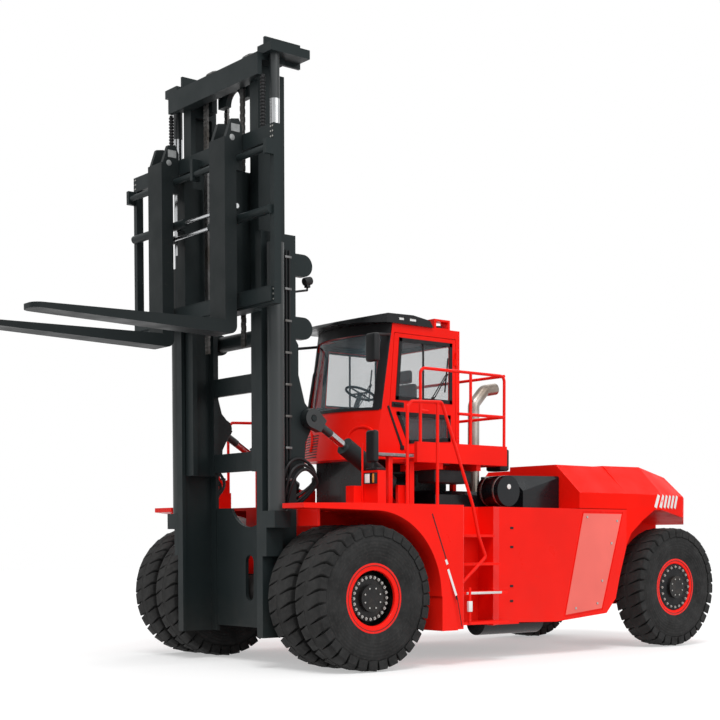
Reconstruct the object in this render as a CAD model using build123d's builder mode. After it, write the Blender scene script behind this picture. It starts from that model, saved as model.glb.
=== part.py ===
from build123d import *
from collections import namedtuple
import math
import os

os.makedirs("parts", exist_ok=True)

# Millimetres. Minus Y is forward, plus X is the truck's left, the ground is at zero.
# Y in every table counts from the front axle; this shift centres the whole truck.
axle_shift = -1800.0

Block = namedtuple("Block", "x0 x1 y0 y1 z0 z1")
Point = namedtuple("Point", "y z")
Spot = namedtuple("Spot", "x y z")

running_gap = 8.0
fit_gap = 0.4
overrun = 20.0

# Wheels
tyre_radius = 920.0
tyre_width = 500.0
tyre_half = tyre_width / 2
twin_gap = 70.0
wheelbase = 6400.0
front_outer_x = 2200.0
rear_outer_x = 1730.0
bead_radius = 438.0
rim_wall = 34.0
rim_inset = 44.0
tread_half = 242.0
carcass_radius = 850.0
sidewall_radius = 640.0
bead_half = 205.0
disc_thick = 40.0
hub_radius = 290.0
hub_nose_radius = 170.0
hub_nose_length = 60.0
lug_count = 16
groove_depth = 50.0
groove_half = 64.0
groove_lean = 17.0
tread_rib = 36.0
front_outer_mid = front_outer_x - tyre_half
front_inner_mid = front_outer_mid - tyre_width - twin_gap
rear_mid = rear_outer_x - tyre_half
inner_disc_x = 1500.0
outer_disc_x = 1800.0
front_hub_in = 1304.0 + fit_gap
front_hub_out = 2060.0
rear_hub_in = 1325.0 + fit_gap
rear_hub_out = 1660.0
rear_disc_x = 1560.0
rear_hub_radius = 250.0

# Drive axle
axle_tube_radius = 240.0
axle_tube_half = 1040.0
brake_radius = 330.0
brake_in = 1030.0
brake_out = 1304.0
banjo_radius = 285.0
banjo_half = 330.0
saddle = Block(600.0, 760.0, -150.0, 150.0, 1080.0, 1180.0)
mast_arm = Block(1036.0, 1104.0, -560.0, 0.0, 560.0, 820.0)
mast_arm_round = 130.0
tilt_pivot = Point(-540.0, 690.0)
tilt_pin_radius = 62.0

# Steer axle
kingpin_x = 1120.0
steer_beam_half_x = 1030.0
steer_beam_half_y = 190.0
steer_beam_half_z = 190.0
yoke_out = 1185.0
yoke_half_y = 95.0
yoke_gap = 285.0
yoke_thick = 60.0
knuckle_half = 80.0
knuckle_half_z = yoke_gap - fit_gap
spindle_radius = 115.0
spindle_out = 1325.0
steer_ram_radius = 95.0
steer_ram_half = 420.0
steer_rod_radius = 38.0
steer_rod_half = 760.0
steer_ram_y = 6120.0
trunnion = Block(-200.0, 200.0, 6300.0, 6500.0, 1100.0, 1240.0)

# Main frame
frame_rails = (
    Block(600.0, 760.0, -150.0, 5200.0, 1180.0, 1500.0),
    Block(600.0, 760.0, 420.0, 5200.0, 760.0, 1182.0),
    Block(600.0, 760.0, 60.0, 1895.0, 1498.0, 2062.0),
    Block(758.0, 1150.0, 1160.0, 1360.0, 900.0, 1500.0),
    Block(758.0, 1150.0, 2900.0, 3100.0, 900.0, 1500.0),
    Block(758.0, 1150.0, 4700.0, 4900.0, 900.0, 1500.0),
)
frame_cross = (
    Block(-602.0, 602.0, 60.0, 130.0, 1260.0, 2062.0),
    Block(-602.0, 602.0, 480.0, 620.0, 1300.0, 1500.0),
    Block(-602.0, 602.0, 4900.0, 5200.0, 800.0, 1900.0),
    Block(-1150.0, 1150.0, 60.0, 1895.0, 2060.0, 2100.0),
)
tilt_lugs = (
    Block(988.0, 1038.0, 1180.0, 1440.0, 2118.0, 2380.0),
    Block(1162.0, 1212.0, 1180.0, 1440.0, 2118.0, 2380.0),
    Block(960.0, 1240.0, 1160.0, 1460.0, 2100.0, 2120.0),
)

# Fenders over the front wheels
fender_out = 2190.0
fender_in = 1150.0
deck_inner = 1330.0
deck_corner_x = 1785.0
deck_corner_y = -210.0
wall_out = 1750.0
wall_y = -560.0
wall_low = 1820.0
wall_thick = 30.0
deck_top = 2100.0
deck_front = -800.0
arch_radius = 1090.0
arch_top = 2005.0
foot_z = 470.0
foot_rear = 1380.0
fender_top_rear = 1000.0
fascia_drop = 2040.0
leg_inner = 1105.0

# Body sides
side_out = 1730.0
side_outline = (
    Point(2560.0, 2100.0),
    Point(5200.0, 2100.0),
    Point(5200.0, 1540.0),
    Point(5060.0, 1120.0),
    Point(4970.0, 780.0),
    Point(4770.0, 570.0),
    Point(3700.0, 480.0),
    Point(2900.0, 500.0),
)
stair_outline = (
    Point(1012.0, 2100.0),
    Point(2700.0, 2100.0),
    Point(2950.0, 480.0),
    Point(1392.0, 480.0),
)
stair_out = 2150.0
stair_wide_until = 1500.0
stair_taper_end = 2560.0
recess = Block(1500.0, 2300.0, 1520.0, 2380.0, 400.0, 2160.0)
Tread = namedtuple("Tread", "x0 x1 z")
treads = (
    Tread(1860.0, 2090.0, 560.0),
    Tread(1760.0, 2060.0, 960.0),
    Tread(1620.0, 1930.0, 1340.0),
    Tread(1495.0, 1800.0, 1720.0),
)
tread_thick = 36.0
hatch_outline = (Point(4240.0, 2060.0), Point(5120.0, 2060.0), Point(4680.0, 620.0), Point(3860.0, 540.0))
hatch_gap = 14.0
hatch_depth = 10.0

# Counterweight
weight_front = 5200.0
weight_sections = (
    # y, half width of the band, half width of the top, bottom, band top, top
    (5200.0, 1730.0, 1250.0, 2108.0, 2335.0, 2770.0),
    (6050.0, 1700.0, 1230.0, 2108.0, 2335.0, 2780.0),
    (6800.0, 1500.0, 1120.0, 2000.0, 2330.0, 2640.0),
    (7300.0, 1120.0, 900.0, 1900.0, 2320.0, 2440.0),
    (7550.0, 760.0, 700.0, 1960.0, 2250.0, 2330.0),
)
weight_arm = (
    Point(300.0, 2108.0), Point(1730.0, 2108.0), Point(1730.0, 2335.0), Point(1250.0, 2755.0),
    Point(300.0, 2755.0),
)
weight_arm_front = 4170.0
weight_keel = Block(-450.0, 450.0, 5200.0, 7420.0, 620.0, 2110.0)
weight_window = Block(-460.0, 460.0, 6000.0, 6620.0, 640.0, 1240.0)
cheek_in = 1240.0
cheek_outline = (
    Point(5200.0, 2110.0),
    Point(5850.0, 2110.0),
    Point(5580.0, 1950.0),
    Point(5310.0, 1750.0),
    Point(5200.0, 1560.0),
)

# Engine and gearbox
engine_blocks = (
    Block(-430.0, 430.0, 2300.0, 4300.0, 760.0, 1940.0),
    Block(-330.0, 330.0, 900.0, 2302.0, 620.0, 1260.0),
)
shaft_radius = 70.0
shaft_y = (banjo_radius, 900.0)
engine_mounts = (
    Block(428.0, 600.0, 2600.0, 2800.0, 1200.0, 1320.0),
    Block(428.0, 600.0, 3900.0, 4100.0, 1200.0, 1320.0),
)

# Engine cover
hood_blocks = (
    Block(-1145.0, 1145.0, 1900.0, 4160.0, 1980.0, 2330.0),
    Block(-1145.0, 292.0, 4158.0, 5200.0, 1980.0, 2330.0),
)
hood_edge = 55.0
intake = Block(450.0, 1330.0, 3420.0, 4160.0, 2102.0, 2580.0)
intake_shoulder = (Point(1050.0, 2350.0), Point(1310.0, 2560.0))

# Drum, tank and exhaust
drum_radius = 215.0
drum = Spot(1355.0, 2900.0, 2332.0)
drum_length = 420.0
low_tank_radius = 190.0
low_tank = Spot(1480.0, 2930.0, 520.0)
low_tank_top = 480.0
low_tank_length = 1150.0
stack_radius = 85.0
stack_bend_radius = 130.0
pipe_wall = 12.0
stack = Spot(600.0, 3130.0, 2330.0)
stack_top = 3620.0
stack_bend = Spot(600.0, 3330.0, 3830.0)
stack_end = Spot(600.0, 3560.0, 3870.0)

# Cab
cab_half = 830.0
cab_wall = 50.0
cab_corner_y = 1400.0
cab_nose_y = 1150.0
cab_rear = 2640.0
cab_floor = 2750.0
cab_sill = 3430.0
cab_eave = 4480.0
cab_roof = 4600.0
cab_rake = 300.0
floor_thick = 80.0
pillar = 70.0
door_front_top = 1440.0
door_front_mid = 1350.0
door_front_low = 1640.0
door_rear = 2560.0
door_low = 2850.0
glass_thick = 10.0
hinge_x = 848.0
hinge_y = 2564.0
hinge_radius = 16.0
hinge_rows = (3000.0, 4200.0)
hinge_length = 90.0
hinge_leaf = 34.0
window_high = (Point(1545.0, 4390.0), Point(2470.0, 4390.0), Point(2470.0, 3590.0), Point(1480.0, 3590.0))
window_low = (Point(1500.0, 3380.0), Point(2440.0, 3380.0), Point(2440.0, 3060.0), Point(1690.0, 3000.0))
rear_window = Block(-700.0, 700.0, 2500.0, 2700.0, 3450.0, 4400.0)
visor_outline = (
    Point(880.0, 4600.0),
    Point(900.0, 4640.0),
    Point(1300.0, 4725.0),
    Point(1750.0, 4735.0),
    Point(2060.0, 4690.0),
    Point(2120.0, 4600.0),
)
visor_half = 860.0
visor_corner_y = 1280.0
visor_slots = (
    Block(800.0, 880.0, 1500.0, 1600.0, 4650.0, 4690.0),
    Block(800.0, 880.0, 1690.0, 1820.0, 4650.0, 4690.0),
)
cab_mount = Block(-640.0, 640.0, 1500.0, 2560.0, 2332.0, 2750.0)
cab_feet = Block(-640.0, 640.0, 1200.0, 1500.0, 2100.0, 2750.0)
louvre = Block(-800.0, -380.0, 700.0, 1420.0, 2800.0, 2818.0)
louvre_count = 9
louvre_pitch = 38.0
louvre_depth = 25.0
roof_lug = Block(640.0, 800.0, 2187.0, 2484.0, 4600.0, 4740.0)
roof_lug_hole = Block(620.0, 820.0, 2225.0, 2446.0, 4620.0, 4712.0)

# Seat and controls
seat_blocks = (
    Block(-250.0, 250.0, 1880.0, 2360.0, 3180.0, 3330.0),
    Block(-240.0, 240.0, 2260.0, 2390.0, 3300.0, 3900.0),
    Block(-140.0, 140.0, 2270.0, 2380.0, 3910.0, 4100.0),
    Block(-180.0, 180.0, 1980.0, 2280.0, 2830.0, 3182.0),
    Block(-50.0, 50.0, 2300.0, 2350.0, 3890.0, 3920.0),
)
console_blocks = (
    Block(-160.0, 160.0, 1180.0, 1400.0, 2830.0, 3500.0),
    Block(300.0, 420.0, 1750.0, 2300.0, 2830.0, 3400.0),
    Block(-420.0, -300.0, 1750.0, 2300.0, 2830.0, 3400.0),
)
steer_column = (Spot(0.0, 1400.0, 3470.0), Spot(0.0, 1500.0, 3720.0))
column_radius = 35.0
handwheel_radius = 210.0
handwheel_tube = 18.0

# Walkway beside and behind the cab
walk_blocks = (
    Block(840.0, 1442.0, 1270.0, 2930.0, 2690.0, 2735.0),
    Block(1440.0, 1500.0, 1270.0, 2930.0, 2680.0, 2950.0),
    Block(-840.0, 842.0, 2648.0, 2930.0, 2690.0, 2735.0),
    Block(-840.0, 1442.0, 2870.0, 2930.0, 2680.0, 2950.0),
    Block(640.0, 1442.0, 1700.0, 1780.0, 2600.0, 2692.0),
    Block(640.0, 1442.0, 2400.0, 2480.0, 2600.0, 2692.0),
)
walk_legs = (
    Block(1240.0, 1320.0, 1290.0, 1370.0, 2100.0, 2692.0),
    Block(840.0, 920.0, 2440.0, 2500.0, 2330.0, 2692.0),
)
rail_radius = 21.0
rail_bend = 80.0
hoop_bend = 45.0
rail_paths = (
    (
        Spot(1470.0, 1350.0, 2950.0), Spot(1470.0, 1350.0, 3930.0), Spot(1470.0, 2900.0, 3930.0),
        Spot(1470.0, 2900.0, 2950.0),
    ),
    (Spot(1470.0, 2260.0, 2950.0), Spot(1470.0, 2260.0, 3930.0)),
    (Spot(1470.0, 2030.0, 3360.0), Spot(1470.0, 2900.0, 3360.0)),
    (Spot(1470.0, 2900.0, 3930.0), Spot(-800.0, 2900.0, 3930.0), Spot(-800.0, 2900.0, 2950.0)),
    (Spot(1470.0, 2900.0, 3360.0), Spot(-800.0, 2900.0, 3360.0)),
    (Spot(330.0, 2900.0, 2950.0), Spot(330.0, 2900.0, 3930.0)),
    (Spot(1470.0, 1350.0, 3360.0), Spot(1470.0, 1480.0, 3360.0)),
)
hoop_path = (
    Spot(2060.0, 620.0, 2100.0),
    Spot(2060.0, 620.0, 3330.0),
    Spot(2060.0, 690.0, 3400.0),
    Spot(2060.0, 1200.0, 3420.0),
    Spot(2060.0, 1440.0, 2860.0),
    Spot(2060.0, 1750.0, 2110.0),
    Spot(2060.0, 1860.0, 1700.0),
    Spot(2060.0, 1990.0, 1420.0),
    Spot(2060.0, 1500.0, 1030.0),
)
hoop_bar = (Spot(2060.0, 1130.0, 2080.0), Spot(2060.0, 1130.0, 3415.0))
post_box = Block(1660.0, 1960.0, 220.0, 350.0, 2100.0, 2520.0)
post_step = Block(1500.0, 1662.0, 70.0, 300.0, 2100.0, 2330.0)
lamp_blocks = (
    Block(1740.0, 1850.0, 180.0, 220.0, 2360.0, 2480.0),
    Block(1890.0, 1940.0, 180.0, 220.0, 2360.0, 2480.0),
)
mirror_blocks = (
    Block(1700.0, 1900.0, 220.0, 300.0, 2620.0, 3030.0),
    Block(900.0, 1110.0, 860.0, 965.0, 4020.0, 4400.0),
)
mirror_arms = (
    (Spot(1800.0, 260.0, 2520.0), Spot(1800.0, 260.0, 2640.0)),
    (Spot(800.0, 1400.0, 4450.0), Spot(1000.0, 920.0, 4390.0)),
)
arm_radius = 20.0

# Outer mast
outer_top = 5500.0
outer_web = Block(930.0, 1020.0, -889.0, -360.0, 403.0, 5500.0)
outer_front_flange = Block(892.0, 932.0, -889.0, -838.0, 403.0, 5500.0)
outer_rear_flange = Block(800.0, 932.0, -410.0, -360.0, 403.0, 5500.0)
tie_radius = 105.0
lobe_radius = 140.0
tie_lobes = (Point(-235.0, 4345.0), Point(-235.0, 5140.0))
lug_outline = (
    Point(-400.0, 4250.0),
    Point(-320.0, 4130.0),
    Point(-320.0, 3750.0),
    Point(-220.0, 3400.0),
    Point(-60.0, 3230.0),
    Point(-115.0, 3080.0),
    Point(-210.0, 2900.0),
    Point(-235.0, 2560.0),
    Point(-400.0, 2420.0),
)
lug_round = 120.0
tilt_eye = Point(-175.0, 3200.0)
eye_pin_radius = 45.0
mast_plate = Block(-932.0, 932.0, -398.0, -350.0, 480.0, 2080.0)
plate_hole = Spot(0.0, 0.0, 1140.0)
plate_hole_radius = 210.0
plate_hole_half = 190.0
scallop_radius = 520.0
cylinder_foot = Block(1018.0, 1290.0, -890.0, -640.0, 1800.0, 2010.0)
foot_web = Block(1018.0, 1108.0, -890.0, -640.0, 1440.0, 1802.0)

# Lift cylinders
lift_x = 1145.0
lift_y = -760.0
lift_radius = 108.0
lift_rod_radius = 62.0
barrel_low = 2010.0
barrel_top = 5340.0
bore_low = 2700.0
rod_low = 4950.0
rod_top = 7650.0
barrel_clamp = Block(1018.0, 1090.0, -820.0, -700.0, 4700.0, 4900.0)

# Inner mast
inner_rail = Block(700.0, 884.0, -830.0, -430.0, 2520.0, 7500.0)
inner_groove = Block(690.0, 800.0, -760.0, -500.0, 2500.0, 7300.0)
inner_cross = (
    Block(-702.0, 702.0, -490.0, -432.0, 2560.0, 2810.0),
    Block(-702.0, 702.0, -490.0, -432.0, 3590.0, 3830.0),
    Block(-884.0, 884.0, -900.0, -800.0, 7390.0, 7620.0),
    Block(-884.0, 884.0, -620.0, -540.0, 7350.0, 7620.0),
    Block(-702.0, 702.0, -470.0, -432.0, 5000.0, 5200.0),
    Block(-340.0, 340.0, -805.0, -615.0, 7560.0, 7620.0),
    Block(-1065.0, 1065.0, -960.0, -896.0, 7390.0, 7620.0),
    Block(-1060.0, 1060.0, -960.0, -540.0, 7580.0, 7660.0),
)
arch_cut_radius = 330.0
rod_heads = (
    Block(960.0, 1260.0, -890.0, -300.0, 7650.0, 7760.0),
    Block(960.0, 1000.0, -800.0, -260.0, 7600.0, 7900.0),
    Block(700.0, 884.0, -800.0, -540.0, 7480.0, 7760.0),
)

# Pulleys and chains
pulley = Spot(430.0, -600.0, 7690.0)
pulley_radius = 145.0
pulley_slot = Block(355.0, 505.0, -790.0, -400.0, 7340.0, 7700.0)
pulley_half = 60.0
chain_half = 45.0
chain_thick = 34.0
chain_front_low = 4140.0
chain_rear_low = 5330.0
pulley_pin_radius = 40.0

# Carriage
carriage_half = 1680.0
carriage_bars = (
    Block(-1680.0, 1680.0, -1152.0, -1050.0, 4490.0, 4715.0),
    Block(-1680.0, 1680.0, -1152.0, -1050.0, 6430.0, 6626.0),
    Block(-1090.0, 1090.0, -1060.0, -932.0, 4490.0, 4715.0),
    Block(-1090.0, 1090.0, -1060.0, -932.0, 6430.0, 6626.0),
)
carriage_posts = (
    Block(1600.0, 1680.0, -1152.0, -1050.0, 4700.0, 6440.0),
    Block(500.0, 680.0, -1060.0, -932.0, 4700.0, 6440.0),
)
roller_plates = Block(500.0, 620.0, -940.0, -560.0, 4600.0, 6300.0)
roller_radius = (inner_groove.y1 - inner_groove.y0) / 2 - fit_gap
roller_x1 = 790.0
roller_y = -630.0
roller_z = (4800.0, 6050.0)
shaft_bar = Spot(0.0, -1215.0, 6330.0)
shaft_bar_radius = 40.0
shaft_lugs = (
    Block(1620.0, 1680.0, -1265.0, -1150.0, 6250.0, 6430.0),
    Block(-30.0, 30.0, -1265.0, -1150.0, 6250.0, 6520.0),
)
low_pad = Block(-1640.0, 1640.0, -1180.0, -1150.0, 4520.0, 4690.0)
Spreader = namedtuple("Spreader", "fork centre barrel_sign z rod_end")
spreader_y = -1165.0
spreader_radius = 55.0
spreader_rod_radius = 26.0
spreader_out = 1640.0
spreader_bore_out = 1580.0
spreader_in = 300.0
spreader_saddle = Block(500.0, 600.0, -1120.0, -1058.0, -60.0, 60.0)
spreader_eye = Block(-60.0, 60.0, -1255.0, -1130.0, -45.0, 45.0)

# Forks
fork_width = 350.0
fork_left_x = 845.0
fork_right_x = -650.0
spreaders = (
    Spreader("left", fork_left_x, -1, 5780.0, -910.0),
    Spreader("right", fork_right_x, 1, 5610.0, 1110.0),
)
shank_front = -1420.0
shank_thick = 170.0
shank_top = 6560.0
blade_under = 4180.0
blade_top = 4350.0
fork_tip = -3950.0
tip_low = 4240.0
tip_high = 4300.0
tip_round = 120.0
heel_round = 100.0
ear_thick = 60.0
ear_outline = (
    Point(-1300.0, 6180.0), Point(-1160.0, 6180.0), Point(-1160.0, 6700.0), Point(-1210.0, 6810.0),
    Point(-1320.0, 6790.0), Point(-1420.0, 6500.0),
)

# Tilt cylinders
tilt_anchor = Point(1310.0, 2285.0)
tilt_x = 1100.0
tilt_radius = 122.0
tilt_rod_radius = 52.0
tilt_eye_radius = 95.0
rod_end_radius = 125.0
rod_end_neck = 88.0
rod_end_length = 185.0
tilt_eye_half = 58.0
tilt_barrel_length = 1120.0
tilt_neck_start = 70.0
tilt_neck = 215.0
tilt_bore = 260.0
tilt_rod_share = 0.42
eye_slack = 7.0


# Adds or cuts a block between two corners
def slab(block, mode=Mode.ADD):
    x0, x1, y0, y1, z0, z1 = block
    with Locations(((x0 + x1) / 2, (y0 + y1) / 2 + axle_shift, (z0 + z1) / 2)):
        Box(x1 - x0, y1 - y0, z1 - z0, mode=mode)


# The same block on both sides of the truck
def twin(block, mode=Mode.ADD):
    slab(block, mode)
    slab(block._replace(x0=-block.x1, x1=-block.x0), mode)


# A plate from its outline seen from the side
def side(points, x0, x1, mode=Mode.ADD):
    with BuildSketch(Plane.YZ.offset(min(x0, x1))) as outline:
        with BuildLine():
            Polyline([(p.y + axle_shift, p.z) for p in points], close=True)
        make_face()
    extrude(outline.sketch, amount=abs(x1 - x0), mode=mode)


# A plate from its outline seen from the front; the first number of a point is X here
def front(points, y0, y1, mode=Mode.ADD):
    with BuildSketch(Plane.XZ.offset(-(y0 + axle_shift))) as outline:
        with BuildLine():
            Polyline([tuple(p) for p in points], close=True)
        make_face()
    extrude(outline.sketch, amount=-(y1 - y0), mode=mode)


# A plate from its outline seen from above
def plan(points, z0, z1, mode=Mode.ADD):
    with BuildSketch(Plane.XY.offset(z0)) as outline:
        with BuildLine():
            Polyline([(x, y + axle_shift) for x, y in points], close=True)
        make_face()
    extrude(outline.sketch, amount=z1 - z0, mode=mode)


# A round bar across the truck
def across(x0, x1, y, z, radius, mode=Mode.ADD):
    with Locations(((x0 + x1) / 2, y + axle_shift, z)):
        Cylinder(radius, abs(x1 - x0), rotation=(0, 90, 0), mode=mode)


# A round bar between two spots
def rod(a, b, radius, mode=Mode.ADD):
    start = Vector(a.x, a.y + axle_shift, a.z)
    end = Vector(b.x, b.y + axle_shift, b.z)
    with Locations(Plane(origin=(start + end) / 2, z_dir=end - start)):
        Cylinder(radius, (end - start).length, mode=mode)


# A tube through several spots, bent at each corner
def tube(path, radius, bend):
    points = [(spot.x, spot.y + axle_shift, spot.z) for spot in path]
    with BuildLine() as route:
        if len(points) > 2:
            FilletPolyline(*points, radius=bend)
        else:
            Polyline(*points)
    with BuildSketch(Plane(origin=route.line @ 0, z_dir=route.line % 0)) as ring:
        Circle(radius)
    sweep(ring.sketch, path=route.line)


# A ring or disc turned about an axle from its half section
def turned(points, x, y, z):
    with BuildSketch(Plane.XZ.offset(-(y + axle_shift))) as section:
        with BuildLine():
            Polyline([(x + dx, z + r) for dx, r in points], close=True)
        make_face()
    revolve(section.sketch, axis=Axis((x, y + axle_shift, z), (1, 0, 0)))


# One groove of the tread, leaning out from the middle rib to the shoulder
lean = math.radians(groove_lean)
with BuildPart() as groove:
    mouth = Plane(
        (tread_rib, 0, tyre_radius), x_dir=(-math.sin(lean), math.cos(lean), 0),
        z_dir=(math.cos(lean), math.sin(lean), 0),
    )
    with BuildSketch(mouth):
        with BuildLine():
            Polyline(
                [(-groove_half, groove_depth), (groove_half, groove_depth), (0, -groove_depth)], close=True
            )
        make_face()
    extrude(amount=tyre_width)

# One tyre about the X axis: two rows of lugs on a turned carcass
grooves = []
for index in range(lug_count):
    turn = 360 / lug_count
    grooves.append(groove.part.rotate(Axis.X, turn * index))
    grooves.append(groove.part.rotate(Axis.Z, 180).rotate(Axis.X, turn * index + turn / 2))
carcass = (
    (-bead_half, bead_radius),
    (-tyre_half, sidewall_radius),
    (-tread_half, carcass_radius),
    (tread_half, carcass_radius),
    (tyre_half, sidewall_radius),
    (bead_half, bead_radius),
)
with BuildPart() as plain_tyre:
    with BuildSketch(Plane.YZ.offset(-tread_half)):
        RegularPolygon(tyre_radius, lug_count + lug_count)
    extrude(amount=tread_half + tread_half)
    add(grooves, mode=Mode.SUBTRACT)
    across(-tyre_width, tyre_width, -axle_shift, 0, sidewall_radius, Mode.SUBTRACT)
    turned(carcass, 0, -axle_shift, 0)


# Rim with its outer lips
def rim_section(half):
    inner = bead_radius - rim_wall
    return (
        (-half, bead_radius),
        (half, bead_radius),
        (half, inner),
        (half - rim_inset, inner),
        (half - rim_inset - rim_inset, inner - rim_wall / 2),
        (rim_inset + rim_inset - half, inner - rim_wall / 2),
        (rim_inset - half, inner),
        (-half, inner),
    )


# Wheels, the front ones in pairs
Wheel = namedtuple("Wheel", "name sign y mids")
wheels = (
    Wheel("front_left", 1, 0.0, (front_outer_mid, front_inner_mid)),
    Wheel("front_right", -1, 0.0, (front_outer_mid, front_inner_mid)),
    Wheel("rear_left", 1, wheelbase, (rear_mid,)),
    Wheel("rear_right", -1, wheelbase, (rear_mid,)),
)
for wheel in wheels:
    with BuildPart() as tyre:
        for mid in wheel.mids:
            add(plain_tyre.part.moved(Location((wheel.sign * mid, wheel.y + axle_shift, tyre_radius))))
    tyre.part.label = "tyre_" + wheel.name
    export_step(tyre.part, "parts/tyre_" + wheel.name + ".step")

    twin_wheel = len(wheel.mids) > 1
    hub_in = front_hub_in if twin_wheel else rear_hub_in
    hub_out = front_hub_out if twin_wheel else rear_hub_out
    discs = (inner_disc_x, outer_disc_x) if twin_wheel else (rear_disc_x,)
    radius = hub_radius if twin_wheel else rear_hub_radius
    with BuildPart() as rim:
        across(wheel.sign * hub_in, wheel.sign * hub_out, wheel.y, tyre_radius, radius)
        across(
            wheel.sign * hub_out, wheel.sign * (hub_out + hub_nose_length), wheel.y, tyre_radius,
            hub_nose_radius,
        )
        for disc in discs:
            across(
                wheel.sign * disc, wheel.sign * (disc + disc_thick), wheel.y, tyre_radius,
                bead_radius - rim_wall,
            )
        for mid in wheel.mids:
            turned(rim_section(tyre_half - rim_inset), wheel.sign * mid, wheel.y, tyre_radius)
    rim.part.label = "rim_" + wheel.name
    export_step(rim.part, "parts/rim_" + wheel.name + ".step")

# Drive axle with the arms the mast hangs in
with BuildPart() as drive_axle:
    across(-axle_tube_half, axle_tube_half, 0.0, tyre_radius, axle_tube_radius)
    across(-banjo_half, banjo_half, 0.0, tyre_radius, banjo_radius)
    for sign in (1, -1):
        across(sign * brake_in, sign * brake_out, 0.0, tyre_radius, brake_radius)
    twin(saddle)
    twin(mast_arm)
    for sign in (1, -1):
        across(sign * mast_arm.x0, sign * mast_arm.x1, tilt_pivot.y, tilt_pivot.z, mast_arm_round)
    for sign in (1, -1):
        across(
            sign * (mast_arm.x0 - overrun), sign * (mast_arm.x1 + overrun), tilt_pivot.y, tilt_pivot.z,
            tilt_pin_radius + fit_gap, Mode.SUBTRACT,
        )
drive_axle.part.label = "drive_axle"
export_step(drive_axle.part, "parts/drive_axle.step")

# Steer axle
with BuildPart() as steer_axle:
    slab(
        Block(
            -steer_beam_half_x, steer_beam_half_x, wheelbase - steer_beam_half_y,
            wheelbase + steer_beam_half_y, tyre_radius - steer_beam_half_z,
            tyre_radius + steer_beam_half_z,
        )
    )
    for z0, z1 in ((yoke_gap, yoke_gap + yoke_thick), (-yoke_gap - yoke_thick, -yoke_gap)):
        twin(
            Block(
                kingpin_x - yoke_half_y - yoke_half_y, yoke_out, wheelbase - yoke_half_y,
                wheelbase + yoke_half_y, tyre_radius + z0, tyre_radius + z1,
            )
        )
    twin(
        Block(
            kingpin_x - yoke_half_y - yoke_half_y, steer_beam_half_x, wheelbase - yoke_half_y,
            wheelbase + yoke_half_y, tyre_radius - yoke_gap - yoke_thick,
            tyre_radius + yoke_gap + yoke_thick,
        )
    )
    slab(trunnion)
    across(-steer_ram_half, steer_ram_half, steer_ram_y, tyre_radius, steer_ram_radius)
    across(-steer_rod_half, steer_rod_half, steer_ram_y, tyre_radius, steer_rod_radius)
steer_axle.part.label = "steer_axle"
export_step(steer_axle.part, "parts/steer_axle.step")

# Knuckles
for name, sign in (("left", 1), ("right", -1)):
    with BuildPart() as knuckle:
        with Locations((sign * kingpin_x, wheelbase + axle_shift, tyre_radius)):
            Cylinder(knuckle_half, knuckle_half_z + knuckle_half_z)
        across(sign * kingpin_x, sign * spindle_out, wheelbase, tyre_radius, spindle_radius)
    knuckle.part.label = "knuckle_" + name
    export_step(knuckle.part, "parts/knuckle_" + name + ".step")

# Main frame
with BuildPart() as frame:
    for block in frame_rails:
        twin(block)
    for block in frame_cross:
        slab(block)
    for block in tilt_lugs:
        twin(block)
    for sign in (1, -1):
        across(
            sign * tilt_lugs[0].x0, sign * tilt_lugs[1].x1, tilt_anchor.y, tilt_anchor.z,
            eye_pin_radius - fit_gap,
        )
frame.part.label = "frame"
export_step(frame.part, "parts/frame.step")

# Fenders
for name, sign in (("left", 1), ("right", -1)):
    with BuildPart() as fender:
        outline = (
            Point(deck_front, deck_top),
            Point(fender_top_rear, deck_top),
            Point(foot_rear, foot_z),
            Point(leg_inner, foot_z),
            Point(leg_inner, tyre_radius),
            Point(0, tyre_radius),
            Point(0, arch_top),
            Point(deck_front, fascia_drop),
        )
        side(outline, sign * fender_in, sign * fender_out)
        across(
            sign * (fender_in - overrun), sign * (fender_out + overrun), 0.0, tyre_radius, arch_radius,
            Mode.SUBTRACT,
        )
        cut = Block(
            fender_in - overrun, deck_inner, deck_front - overrun, 0.0, arch_top - overrun,
            deck_top + overrun,
        )
        slab(cut if sign > 0 else cut._replace(x0=-cut.x1, x1=-cut.x0), Mode.SUBTRACT)
        corner = (
            (sign * deck_corner_x, deck_front),
            (sign * deck_corner_x, deck_front - overrun),
            (sign * (fender_out + overrun), deck_front - overrun),
            (sign * (fender_out + overrun), deck_corner_y),
            (sign * fender_out, deck_corner_y),
        )
        plan(corner, arch_top - overrun, deck_top + overrun, Mode.SUBTRACT)
        box = Block(deck_inner, wall_out, wall_y, wall_y + wall_thick, wall_low, fascia_drop)
        slab(box if sign > 0 else box._replace(x0=-box.x1, x1=-box.x0))
        box = post_box if sign > 0 else post_box._replace(x0=-post_box.x1, x1=-post_box.x0)
        slab(box)
        box = post_step if sign > 0 else post_step._replace(x0=-post_step.x1, x1=-post_step.x0)
        slab(box)
    fender.part.label = "fender_" + name
    export_step(fender.part, "parts/fender_" + name + ".step")

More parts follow.
